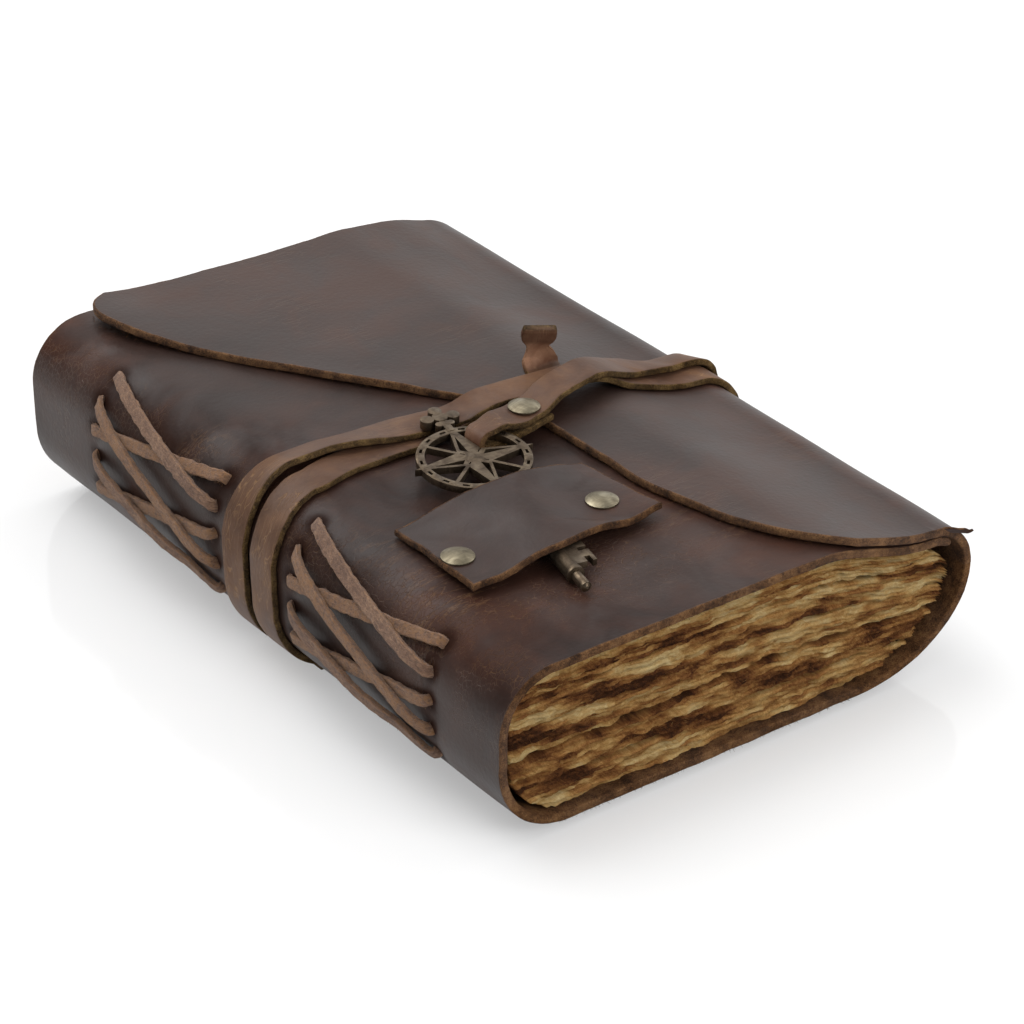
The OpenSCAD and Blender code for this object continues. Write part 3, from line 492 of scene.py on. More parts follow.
# Rubbed where hands and table touch: the spine, the corner below the keeper and the cut edges. A grey tint,
# partly wax bloom and partly painted sheen, covers the flap and the front, further out towards the spine near
# the head, and the spine's side away from the holes
def hideWearShadeAndSheen(x, y, edge, front, isFlap, shade):
    (atX, atY), (wideX, wideY) = wearAndSheen["cornerAt"], wearAndSheen["cornerSize"]
    rubbed = wearAndSheen["spine"] * bell(x - 5, 8) * front
    rubbed = rubbed + wearAndSheen["corner"] * front * bell(x - atX, wideX, y - atY, wideY)
    rubbed = rubbed + wearAndSheen["edge"] * np.exp(-np.clip(edge, 0, 9) / 1.1)
    toHead = ease((y - fold["headFrom"]) / 45)
    bloomSheenStart, bloomSheenOver = mix(22, 5, toHead), mix(40, 20, toHead)
    bloomSheenShare = mix(wearAndSheen["bloomSheenTail"], wearAndSheen["bloomSheenHead"], toHead) * ease((x - bloomSheenStart) / bloomSheenOver)
    bloomSheenShare = front * bloomSheenShare + wearAndSheen["bloomSheenSpine"] * ease((4 - x) / 4) * (1 - shade)
    bloomSheenShare = np.where(isFlap, wearAndSheen["bloomSheenFlap"], bloomSheenShare)
    return {"rubbed": rubbed[::-1], "shade": shade[::-1], "bloomSheenShare": bloomSheenShare[::-1]}


# The section carried from tail to head, where its upper half leans with the book, and then the flap's rows
# between the fore-edge and its own edge
def hideSheet():
    r = book
    rows = hideSection()
    ends = np.concatenate([edgeRows, np.linspace(4.5, r["length"] / 2, 68)])
    y = np.concatenate([ends, r["length"] - ends[-2::-1]])
    edgeX = flapEdge(y) + 0.16 * waves(y[:, None], 17, 5) + 0.08 * waves(y[:, None], 2.8, 6)
    slope = np.sqrt(1 + np.gradient(flapEdge(y), y) ** 2)
    steps = np.concatenate([np.linspace(1, 0, 84)[1:-1], np.zeros(len(edgeRows))])
    near = np.concatenate([np.full(82, edgeRows[-1]), edgeRows[::-1]])
    inner = edgeX[None] + np.minimum(near[:, None] * slope[None], 9)
    flapX = mix(inner, foreX, steps[:, None])
    fz = frontZ(flapX) + flapRise
    flapRows = (flapX, 0 * fz, fz, 0 * fz + 1, 0 * fz, 0 * fz + 1)

    def withFlap(column, flapPart):
        return np.concatenate([np.broadcast_to(column[:, None], (len(rows), len(y))), flapPart])

    x, lowZ, topZ, share, nx, nz = (withFlap(*pair) for pair in zip(rows.T, flapRows))
    u = runLength(rows[:, :3])
    u = withFlap(u, u[-1] + foreX - flapX)
    line = np.stack([u, 0 * u], -1)
    wobble = layered(line, 11, (24, 0.14), (4, 0.10))
    gone = np.minimum(y, r["length"] - y)[None]
    ys = y[None] + wobble * np.clip(1 - gone / 5, 0, 1) * np.where(y < 100, 1, -1)[None] * np.ones_like(x)
    # Towards the tail the low round of the fore-edge is longer and higher
    toTail = ease((fold["tailFrom"] - ys) / fold["tailOver"])
    lowFrom = fold["lowFrom"]
    under = (lowZ < r["foreLow"] + 0.1) & (share < 0.6) & (x > lowFrom)
    turned = np.clip((x - r["width"] + r["foreLow"]) / r["foreLow"], 0, 1)
    flatReach = np.clip((x - lowFrom) / (r["width"] - r["foreLow"] - lowFrom), 0, 1)
    reach = np.where(turned > 0, 1 - turned, flatReach)
    x = x - np.where(under, toTail * fold["lowWide"] * reach, 0)
    lowZ = lowZ + np.where(under, toTail * fold["lowHigh"] * lowZ / r["foreLow"], 0)
    low = np.stack([x, ys, lowZ], -1)
    outer = mix(low, leanedAt(x, ys, topZ), share[..., None])
    toEnd = ease((ys - fold["headFrom"]) / (r["length"] - fold["headFrom"]))
    outer[..., 0] -= fold["drawIn"] * toEnd * ease((x - 100) / 25)
    outer[..., 2] += headRise(x, ys) * (share > 0.6)
    normal = unit(np.stack([nx, -nz * math.sin(tilt) * share, nz], -1))
    isFlap = np.arange(len(x))[:, None] >= len(rows)
    fromFlap = np.where(isFlap, (x - edgeX[None]) / slope[None], 99)
    ownEnd = np.linalg.norm(np.stack([x - x[:1], outer[..., 2] - outer[:1, :, 2]], -1), axis=-1)
    ownEnd = np.where(np.arange(len(x))[:, None] < 8, ownEnd, 99)
    edge = np.minimum(np.minimum(gone * np.ones_like(x), fromFlap), ownEnd)
    # The flap's edge stands off a little away from the strap, most near the tail
    free = 1 - ease((fold["strapReach"] - np.abs(ys - fold["strapY"])) / 8)
    raised = flap["liftAtEdge"] * np.exp(-np.maximum(fromFlap, 0) / 7) * free * (
        0.55 + 0.45 * waves(np.stack([ys, 0 * ys], -1), 40, 3) + 0.9 * bell(ys - 8, 14))
    raised = np.maximum(raised, 0) + fold["cornerLift"] * bell(x - 16, 13) * ease((ys - 160) / 34)
    outer = outer + normal * np.where(isFlap, raised, 0)[..., None]
    # Soft unevenness of the hide, a pucker at each thong hole, and painted shade round each hole
    quiet = ease((gone - 1) / 8) * ease((fromFlap - 1) / 8)
    bulge = 0.10 * waves(outer, 30, 21) * quiet
    shade = np.zeros_like(x)
    for row in lacing["rows"]:
        for heights, at in ((lacing["nearZ"], row), (lacing["farZ"], row + lacing["span"])):
            for z in heights:
                away = np.linalg.norm(outer - spineAt(z, at, 0.0), axis=-1)
                bulge = bulge - wearAndSheen["pucker"] * bell(away, 2.6)
                shade = np.maximum(shade, np.exp(-(away / 3.6) ** 4))
    outer = outer + normal * bulge[..., None]
    values = hideWearShadeAndSheen(x, ys, edge, (share > 0.5) & ~isFlap, isFlap, shade)
    return leatherSheet("hide", outer[::-1], normal[::-1], r["hide"], edge[::-1], coverLeather,
                        ["cover"], np.stack([u, ys], -1)[::-1], values)


hidePiece = hideSheet()
print("stage: hide", len(hidePiece.data.polygons))

# Pages: torn sheets in sections, closed at every side as one block

pages = dict(sections=5, sheets=9, inset=1.6, foreGap=3.0, room=2.2, topGap=1.3, tailSteps=228, foreSteps=30,
             spineSteps=8, thinnest=0.5, thickest=1.6, gaps=(1.5, 2.1, 0.7, 1.5), gapDepth=5.5, tear=0.75,
             ownTear=0.8, endFree=4.0)


# Rings round the block, three to a sheet's edge and to a gap between sections, stacked by their share t of
# the height. Each stands back from the tail, fore-edge and head by its sheet's own torn line.
def pageBlock():
    r = book
    low = r["hide"] + 0.1
    startX = r["hide"] + pages["room"]
    topZ = r["height"] - r["hide"] - pages["topGap"]
    endX = foreX + r["foreTop"] - r["hide"] - pages["foreGap"]
    perSection = pages["sheets"] + 1  # the sheets, then the gap after them
    count = pages["sections"] * perSection - 1
    profile = np.array([0.10, 0.5, 0.90])  # where the rings lie across one sheet's edge
    swell = np.array([-1.15, 0.15, -1.15])  # how far each ring stands out
    rng = np.random.default_rng(4)
    sheet = np.repeat(np.arange(count), len(profile))
    share = np.tile(profile, count)
    inSection = sheet % perSection
    section = sheet // perSection
    isGap = inSection == pages["sheets"]
    push = np.where(isGap, -pages["gapDepth"] + 0.6 * np.abs(share - 0.5), np.tile(swell, count))
    thick = rng.uniform(pages["thinnest"], pages["thickest"], count)
    thick[np.arange(count) % perSection == pages["sheets"]] = pages["gaps"]
    start = np.concatenate([[0], np.cumsum(thick)]) / thick.sum()
    t = start[sheet] + share * (start[sheet + 1] - start[sheet])
    t[0], t[-1] = 0, 1
    ownBack = rng.uniform(0, 1.1, count)[sheet]
    outerSheet = (inSection == 0) | (inSection == pages["sheets"] - 1)
    ownBack = ownBack + np.where(outerSheet, 0.3, 0)
    tone = rng.uniform(0.25, 0.75, count)[sheet] + rng.uniform(-0.14, 0.14, pages["sections"])[section]

    # Where a ring begins beside the spine, inside the hide's two rounds and its wall
    def rowStart(t):
        z = mix(low, topZ, t)
        spineLow = r["spineLow"]
        lr, tr = spineLow - low, topZ - spineZ
        a = startX + lr - np.sqrt(np.maximum(0, lr ** 2 - (spineLow - np.minimum(z, spineLow)) ** 2))
        b = startX + tr - np.sqrt(np.maximum(0, tr ** 2 - np.maximum(0, z - spineZ) ** 2))
        return np.where(z < spineLow, a, np.where(z > spineZ, b, startX))

    # Where it ends before the roll, inside the low round and drawn back at the top
    def rowEnd(t, section):
        z = mix(low, topZ - r["foreFall"], t)
        wide, high = r["foreLow"] + fold["lowWide"] - low, r["foreLow"] + fold["lowHigh"] - low
        bent = wide * (1 - np.sqrt(1 - (np.maximum(0, high + low - z) / high) ** 2))
        return endX - 0.5 * ((section * 7) % 3) - bent - 7 * ease((t - 0.86) / 0.14)

    # Depth of a torn edge at a distance s along it: waves of five lengths, its own for each sheet
    def torn(s, seed):
        p = np.stack(np.broadcast_arrays(s, 97.0 * sheet[:, None]), -1)
        return (layered(p, seed, (26, 0.60), (9, 0.45), (3.6, 0.20)) + 0.22 * np.abs(waves(p, 1.9, seed + 3))
                + 0.10 * waves(p, 1.2, seed + 4))

    # How far the rings lie behind the book's tail or head
    def setBack(seed):
        ragged = pages["tear"] + ownBack[:, None] * pages["ownTear"] + torn(x, seed)
        return pages["inset"] + np.maximum(0.0, ragged) - push[:, None] * 0.8

    n = pages["tailSteps"]
    along = np.linspace(0, 1, n + 1)[None]
    x0, x1 = rowStart(t)[:, None], rowEnd(t, section)[:, None]
    x = mix(x0, x1, along)
    # The rings' ends stay back from tail and head, so no sheet sticks out at a corner
    free = pages["endFree"]
    foreY = np.linspace(free, r["length"] - free, pages["foreSteps"])[None]
    fore = x1 - np.maximum(0, 0.5 + torn(foreY, 71)) + push[:, None] * 0.5
    spineY = np.linspace(r["length"] - free - 1, free + 1, pages["spineSteps"])[None]
    sides = [(x, setBack(31)), (fore, foreY * np.ones_like(fore)),
             (x[:, ::-1], r["length"] - setBack(51)[:, ::-1]),
             (x0 * np.ones_like(spineY), spineY * np.ones_like(x0))]
    px, py = (np.concatenate([side[k] for side in sides], 1) for k in range(2))
    # Sheets wave up and down together, and each a little by itself, less towards top and bottom
    calm = np.sin(math.pi * t)[:, None]
    place = np.stack([px, py * 0.3], -1)
    waveT = calm * layered(place, 81, (34, 0.012), (12, 0.006))
    own = np.stack([px, 53.0 * sheet[:, None] + 0 * px], -1)
    loose = np.where(isGap, 1.2, 1.0)[:, None]
    waveT = waveT + calm * loose * layered(own, 83, (15, 0.006), (5, 0.0035), (1.8, 0.002))
    # No row ever sinks below the one under it, so a sheet can thin out to nothing
    level = np.maximum.accumulate(np.clip(t[:, None] + waveT, 0, 1), axis=0)
    topAt = frontZ(np.minimum(px, foreX)) - r["hide"] - pages["topGap"]
    topAt = topAt - 0.05 * np.maximum(0, px - foreX) ** 2 + headRise(px, py)
    pz = mix(low, topAt + py * math.tan(tilt), level)
    points = np.stack([px, py, pz], -1)
    rows, columns = px.shape
    distance = np.concatenate([[0], np.cumsum(np.full(columns - 1, 0.56))])
    distance[:n + 1] = np.linspace(0, 130, n + 1)
    uv = np.stack(np.broadcast_arrays(distance[None], pz), -1)
    # Painted shade for the rows pushed in between sheets and sections, more the deeper they lie
    gapShade = np.clip((-push[:, None] - 0.8) / 2.4, 0, 1) * np.ones_like(px)
    # Tone that varies by place and by sheet, and lighter towards the fore-edge and the top
    fleck = 0.46 * waves(points.reshape(-1, 3) * [1, 1, 3], 17, 91).reshape(px.shape)
    fleck = fleck + 0.24 * waves(own, 9, 92) + 0.30 * ease((px - 45) / 60) * ease((pz - 8) / 20)
    toned = np.clip(tone[:, None] + fleck, 0, 1.1)
    # Top and bottom are strips between the tail row and the mirrored head row, with a fan at each end
    a = np.arange(n)
    b = n + pages["foreSteps"] + 1 + n - a
    cap = np.stack([a, a + 1, b - 1, b], -1)
    foreRing = np.arange(n, n + pages["foreSteps"] + 2)
    spineRing = np.concatenate([np.arange(columns - pages["spineSteps"] - 1, columns), [0]])
    last = (rows - 1) * columns
    faces = gridFaces(rows, columns, True)
    fans = np.concatenate([np.stack([np.full(len(ring) - 2, ring[0]), ring[1:-1], ring[2:]], -1)
                           for ring in (foreRing, spineRing)])
    piece = makePiece("pages", points, [faces, cap[:, ::-1], cap + last, fans[:, ::-1], fans + last],
                      paper, ["page_block"], {"tone": toned, "gapShade": gapShade}, uv)
    return piece, points, px.shape, n


pagePiece, pagePoints, pageShape, tailCount = pageBlock()
print("stage: pages", len(pagePiece.data.polygons))


# Straight pieces between the rows of c, each cut in n, then rounded by averaging with the neighbours
def rounded(c, n, passes=4):
    c = np.asarray(c, float)
    s = np.arange((len(c) - 1) * n + 1) / n
    line = np.stack([np.interp(s, np.arange(len(c)), column) for column in c.T], -1)
    for _ in range(passes):
        line[1:-1] = (line[:-2] + 2 * line[1:-1] + line[2:]) / 4
    return line


# Strips: a rounded rectangle carried along a smooth path. Its corners lie at half the width less r and
# half the thickness less r, with arcs of radius r round them.
def carryStrip(name, stations, thickness, material, nodes, finer=4, radius=0.45, rough=0.1, seed=1,
               values=None, grainDown=False, smooth=spline):
    line = smooth(stations, finer)
    mid, wide, width = line[:, :3], line[:, 3:6], line[:, 6]
    run = unit(np.gradient(mid, axis=0))
    side = unit(wide - run * (wide * run).sum(-1, keepdims=True))
    face = np.cross(run, side)
    flat = np.array([0.6, 0.2, -0.2, -0.6])
    profile = []  # side and face of the corner, then the direction of the arc
    for cornerX, cornerZ, start in ((1, 1, 0), (-1, 1, 90), (-1, -1, 180), (1, -1, 270)):
        turn = np.radians(np.arange(0, 91, 22.5)) + math.radians(start)
        profile += [(cornerX, cornerZ, a, b) for a, b in zip(np.cos(turn), np.sin(turn))]
        if cornerX == cornerZ:  # across the top, or the bottom, to the next corner
            profile += [(at * cornerX, cornerZ, 0, cornerZ) for at in flat]
    cx, cz, ax, az = np.array(profile, float).T
    length = runLength(mid)
    strip = np.stack(np.broadcast_arrays(length[:, None], 3.0 * cx[None]), -1)
    half = width[:, None] / 2 + rough * waves(strip * [1, 0.4], 3.0, seed) * (np.abs(cx) == 1)
    offX = cx * (half - radius) + radius * ax
    offZ = cz * (thickness / 2 - radius) + radius * az + 0.25 * rough * waves(strip, 6, seed + 1)
    points = mid[:, None] + side[:, None] * offX[..., None] + face[:, None] * offZ[..., None]
    rows, columns = offX.shape
    down = az if grainDown else -az  # the flesh side counts as cut
    cut = ((np.abs(ax) > 0.6) | (down > 0.6)) * np.ones_like(offX)
    across = runLength(np.stack([offX[0], offZ[0]], -1))
    uv = np.stack(np.broadcast_arrays(length[:, None], across[None]), -1)
    extra = {"cut": cut}
    for key, value in (values or {}).items():
        extra[key] = value(mid, length) * np.ones_like(offX)
    ring = np.arange(columns)[None]
    faces = [gridFaces(rows, columns, True), ring[:, ::-1], ring + (rows - 1) * columns]
    piece = makePiece(name, points, faces, material, nodes, extra, uv)
    return piece, (mid, side, face, width)


# Rows of a strip's course: its middle, the direction across it, and its width
def stations(mid, wide, width):
    mid = np.atleast_2d(mid)
    wide = np.broadcast_to(np.asarray(wide, float), mid.shape)
    return np.concatenate([mid, wide, np.broadcast_to(np.asarray(width, float), (len(mid),))[:, None]], 1)


# Out and in through ten holes, with short hops inside; a pass bows out where it crosses another
def thongPath(row):
    a, b = lacing["farZ"], lacing["nearZ"]
    ya, yb = row + lacing["span"], row
    t = lacing["thickness"]

    def up(z, y):
        out = unit(spineAt(z, y, 1.0) - spineAt(z, y, 0.0))
        return np.stack([out[..., 2], 0 * out[..., 0], -out[..., 0]], -1)

    def crossing(z0, y0, z1, y1, bow, close=0):
        s = np.linspace(0, 1, 10)
        y, z = mix(y0, y1, s), mix(z0, z1, s)
        lift = t / 2 + lacing["lift"] + bow * ease(s / 0.13) * ease((1 - close - s) / 0.13)
        wide = mix(lacing["atHole"], lacing["width"], ease(s / 0.2) * ease((1 - s) / 0.2))
        return stations(spineAt(z, y, lift), up(z, y), wide)

    def hop(z0, z1, y):
        s = np.array([0.1, 0.5, 0.9])
        return stations(spineAt(mix(z0, z1, s), y, -book["hide"] - t / 2 - 0.2), (0, 1, 0), lacing["atHole"])

    def tucked(z, y):
        return stations(spineAt(z, y, -book["hide"] - 0.3), up(z, y), lacing["atHole"])

    over = lacing["over"]
    return np.concatenate([
        tucked(b[0], yb), crossing(b[0], yb, a[2], ya, 0),
        hop(a[2], a[3], ya), crossing(a[3], ya, b[4], yb, over, 0.26),
        hop(b[4], b[3], yb), crossing(b[3], yb, a[1], ya, over),
        hop(a[1], a[0], ya), crossing(a[0], ya, b[1], yb, over),
        hop(b[1], b[2], yb), crossing(b[2], yb, a[4], ya, 0), tucked(a[4], ya)])


thongRuns = []
for end, row, seed in (("tail", lacing["rows"][0], 41), ("head", lacing["rows"][1], 43)):
    thong = carryStrip("thong_at_" + end, thongPath(row), lacing["thickness"], suede,
                       ["thong_" + end], 5, 0.42, 0.2, seed, smooth=rounded)
    thongRuns.append(thong[1])
print("stage: thongs")

# Strap: places and heights count with the full thickness; the strip itself is skived a little thinner
strap = dict(width=9.6, thickness=2.0, skived=1.75, foldWidth=6.6, seat=0.1, turnStep=10, knot=12.0,
             firstY=92.9, firstShift=3.0, firstForeY=92.6, secondY=105.3, secondShift=1.5, edgeLift=0.8,
             edgeTip=0.33, overlap=3.4, overlapLift=1.2, overlapTilt=0.25, swingX=85.0, swingY=6.7,
             swingR=5.6, foldX=53.2, foldY=82.9, foldH=5.3, foldR=2.2, rivetX=71.4, rivetY=87.5, rivetH=2.35)


# Value at x of points that rise in x: a smooth step from each to the next
def stepAt(curve, x):
    c = np.asarray(curve, float)
    i = np.clip(np.searchsorted(c[:, 0], x) - 1, 0, len(c) - 2)
    return mix(c[i, 1], c[i + 1, 1], ease((x - c[i, 0]) / (c[i + 1, 0] - c[i, 0])))


# The same as a smooth path: cubic pieces that share the slope of each point's two neighbours
def pathAt(curve, x):
    c = np.asarray(curve, float)
    i = np.clip(np.searchsorted(c[:, 0], x) - 1, 0, len(c) - 2)
    p0, p1, p2, p3 = c[np.maximum(i - 1, 0)], c[i], c[i + 1], c[np.minimum(i + 2, len(c) - 1)]
    w = p2[:, 0] - p1[:, 0]
    s = (x - p1[:, 0]) / w
    m1 = w * (p2[:, 1] - p0[:, 1]) / (p2[:, 0] - p0[:, 0])
    m2 = w * (p3[:, 1] - p1[:, 1]) / (p3[:, 0] - p1[:, 0])
    d = p2[:, 1] - p1[:, 1]
    return p1[:, 1] + m1 * s + (3 * d - 2 * m1 - m2) * s ** 2 + (m1 + m2 - 2 * d) * s ** 3


# Knot, first turn, second turn, then the last pass with its fold round the ring and its end below
def strapPath():
    s = strap
    half = s["thickness"] / 2
    bend = half + 0.02 + 20 * (1 / math.cos(math.radians(s["turnStep"] / 2)) - 1)
    layer = s["thickness"] + 0.3
    f = flapRise
    level = (0, math.cos(tilt), math.sin(tilt))
    x0, ex, width = book["spineTop"], flap["edgeX"], s["width"]
    fy, sy = s["firstY"], s["secondY"]
    shift = s["firstShift"]
    # Courses over the front as points of x and y, then heights over the cover as points of x and height
    firstY = [[x, fy + off] for x, off in ((x0, shift), (24, 5.2), (36, 5.6), (50, 5.4), (66, 5.9),
                                           (s["swingX"], s["swingY"]))]
    secondY = [[x, sy + off] for x, off in ((x0, s["secondShift"]), (24, 1.3), (34, -1.6), (46, -4.2),
                                            (62, -6.6), (80, -8.0))]
    secondY += [[110, s["firstForeY"] + 1.6], [foreX, s["firstForeY"]]]
    foreY = s["firstForeY"] + width + 0.1
    lastY = [[s["foldX"], s["foldY"]], [s["rivetX"], s["rivetY"]], [106, 96.0], [118, 98.0],
             [foreX, foreY - s["overlap"]]]
    high, low = (s["foldH"] + way * s["foldR"] - half - s["seat"] for way in (1, -1))
    firstH = [[0, 0], [ex - 31, 0], [ex - 9, f], [book["width"], f]]
    secondH = [[0, s["edgeLift"]], [17, s["edgeLift"]], [36, layer - 0.3], [ex - 20, layer - 0.2],
               [ex - 9, layer + f], [97, layer + f], [108, f], [book["width"], f]]
    lastH = [[0, high], [61, high], [67, s["rivetH"] + f], [74, s["rivetH"] + f], [83, 2 * layer + f],
             [93, 2 * layer + f], [110, layer + f], [foreX, s["overlapLift"] + f],
             [book["width"], s["overlapLift"] + f]]
    underH = [[56, low], [61, low], [67, f + 0.05], [90, f + 0.05]]

    def onTop(x, y, h):
        return leaned(x, y, frontZ(x) + h + s["seat"] + half)

    # tip raises the strip's near edge, up to about x = 30
    def topRun(xs, path, under, tip=0.0):
        across = level - np.array([0, 0, 1]) * tip * (1 - ease((xs[:, None] - 28) / 18))
        return stations(onTop(xs, pathAt(path, xs), stepAt(under, xs)), across, width)

    # The last pass tips near the fore-edge and narrows towards its fold
    def lastRun(xs, under, tip):
        across = level - np.array([0, 0, tip]) * ease((xs[:, None] - 108) / 14)
        return stations(onTop(xs, pathAt(lastY, xs), stepAt(under, xs)), across,
                        mix(s["foldWidth"], width, ease((xs - 57) / 10)))

    # Over the spine's top round the strip moves aside by shift, lifts and tips as it goes
    def downSpine(y, shift, lift=0.0, tip=0.0):
        d = np.arange(90 - s["turnStep"], -1, -s["turnStep"])
        a, share = np.radians(d), ease((d - 15) / 70)
        r = x0 + bend + lift * share
        top = leaned(x0 - r * np.cos(a), y + shift * share, spineZ + r * np.sin(a))
        out = np.stack([-np.cos(a), 0 * a, np.sin(a)], -1) * tip * share[:, None]
        b = np.radians(np.arange(0, 91, s["turnStep"]))
        q = book["spineLow"] + bend
        foot = np.stack([book["spineLow"] - q * np.cos(b), y + 0 * b, book["spineLow"] - q * np.sin(b)], -1)
        return np.concatenate([stations(top, level - out, width), stations(foot, (0, 1, 0), width)])

    # Up the fore-edge it lifts, moves over the turn below and tips
    def upFore(y, lift, over, tip):
        a = np.radians(np.arange(90, -1, -s["turnStep"]))
        q = book["foreLow"] + bend
        foot = np.stack([book["width"] - book["foreLow"] + q * np.cos(a), y + 0 * a,
                         book["foreLow"] - q * np.sin(a)], -1)
        d = np.arange(5, 86, s["turnStep"])
        b = np.radians(d)
        r = book["foreTop"] + bend + lift * ease(d / 30)
        top = leaned(foreX + r * np.cos(b), y - over * ease((d - 25) / 60), foreZ + r * np.sin(b))
        out = np.stack([np.cos(b), 0 * b, np.sin(b)], -1) * tip * ease((d[:, None] - 10) / 40)
        return np.concatenate([stations(foot, (0, 1, 0), width), stations(top, level - out, width)])

    # The knot, from its turned end down to the first turn, leans back and flares out twice. Each row: x and y
    # off the knot's middle, height, the direction across and the width
    top = s["knot"]
    knot = np.array([
        [-0.6, -0.8, top, -0.8, 0.50, -0.25, 8.4], [-0.5, -0.3, top - 1.8, -0.8, 0.52, -0.2, 9.0],
        [-0.4, 0.2, top - 3.8, -0.82, 0.52, -0.1, 8.2], [-0.2, 0.6, top - 5.8, -0.86, 0.48, 0, 5.6],
        [0.1, 0.4, top - 8.2, -0.94, 0.3, 0, 8.0], [0, -0.1, 2.2, -1, 0.05, 0, 10],
        [0, -0.9, 0.7, -1, 0, 0, 10]])
    knotX, knotY = s["swingX"] + s["swingR"], fy + s["swingY"] + s["swingR"] + 1.6
    knot[:, :3] = onTop(knotX + knot[:, 0], knotY + knot[:, 1], f + knot[:, 2])
    a = np.radians(np.arange(80, -1, -16))
    swing = onTop(s["swingX"] + s["swingR"] * np.sin(a), fy + s["swingY"] + s["swingR"] * (1 - np.cos(a)), f)
    across = np.stack([-np.sin(a), np.cos(a) * math.cos(tilt), np.cos(a) * math.sin(tilt)], -1)
    way = math.atan2(s["rivetY"] - s["foldY"], s["rivetX"] - s["foldX"])
    b = np.radians(np.arange(0, 181, 22.5))
    cx, cy = s["foldX"] + s["foldR"] * math.cos(way), s["foldY"] + s["foldR"] * math.sin(way)
    folded = leaned(cx - s["foldR"] * np.sin(b) * math.cos(way), cy - s["foldR"] * np.sin(b) * math.sin(way),
                    book["height"] + s["foldH"] + s["foldR"] * np.cos(b))
    far = np.arange(124, 87, -3.0)
    near = np.arange(84, 19, -4.0)
    return np.concatenate([
        knot, stations(swing, across, width),
        topRun(np.concatenate([near[1:], [x0]]), firstY, firstH), downSpine(fy, shift),
        upFore(s["firstForeY"], 0, 0, 0),
        topRun(np.concatenate([far, near, [x0]]), secondY, secondH, s["edgeTip"]),
        downSpine(sy, s["secondShift"], s["edgeLift"], s["edgeTip"]),
        upFore(foreY, s["overlapLift"], s["overlap"], s["overlapTilt"]),
        lastRun(np.concatenate([far, near[:6], [61, 58]]), lastH, s["overlapTilt"]),
        stations(folded, level, s["foldWidth"]), lastRun(np.array([59, 61.5, 64, 68, 72, 77]), underH, 0)])


# Rubbed most where the strap bends round spine and fore-edge, and at the fold and the knot
def strapRub(mid, length):
    x, y, z = mid[:, 0], mid[:, 1], mid[:, 2]
    bent = (bell(x - 3, 9) + bell(x - 138, 10)) * (z > 15)
    fold = bell(x - 55, 8, y - 84, 6)
    knotted = np.exp(-length / 14)
    return (0.75 * np.clip(bent + fold + knotted, 0, 1))[:, None]


# The flesh side shows on the knot's lower part, and a little where the grain is broken at the fold
def strapFlesh(mid, length):
    x, y = mid[:, 0], mid[:, 1]
    knotted = ease((length - 0.5) / 0.6) * ease((13 - length) / 3)
    fold = 0.45 * bell(x - 52, 3, y - 84, 6)
    return np.clip(0.9 * knotted + fold, 0, 1)[:, None]


# Painted shade: the knot's turned end is darkest
def strapShade(mid, length):
    return (0.85 * ease((length - 0.5) / 0.8) * ease((5.4 - length) / 1.4))[:, None]


strapPiece, strapRun = carryStrip(
    "strap_band", strapPath(), strap["skived"], strapLeather, ["strap"], 4, 0.5, 0.07, 61,
    {"rubbed": strapRub, "flesh": strapFlesh, "shade": strapShade}, grainDown=True)
print("stage: strap", len(strapPiece.data.polygons))

# Keeper: a loose patch, low at its riveted ends and arched over the key
keeper = dict(thickness=1.8, long=55, deep=31, corners=((16, 32), (73.2, 35.5), (71, 64), (17, 64.6)),
              lift=1.6, nearArch=17.0, farArch=30.0, nearBow=2.3, farBow=2.6, bloomAndSheen=0.4)
keyLie = dict(x=48.5, y=76.4, turn=10.5, pitch=2.7, shaft=4.2, length=59.4, tip=5.8)


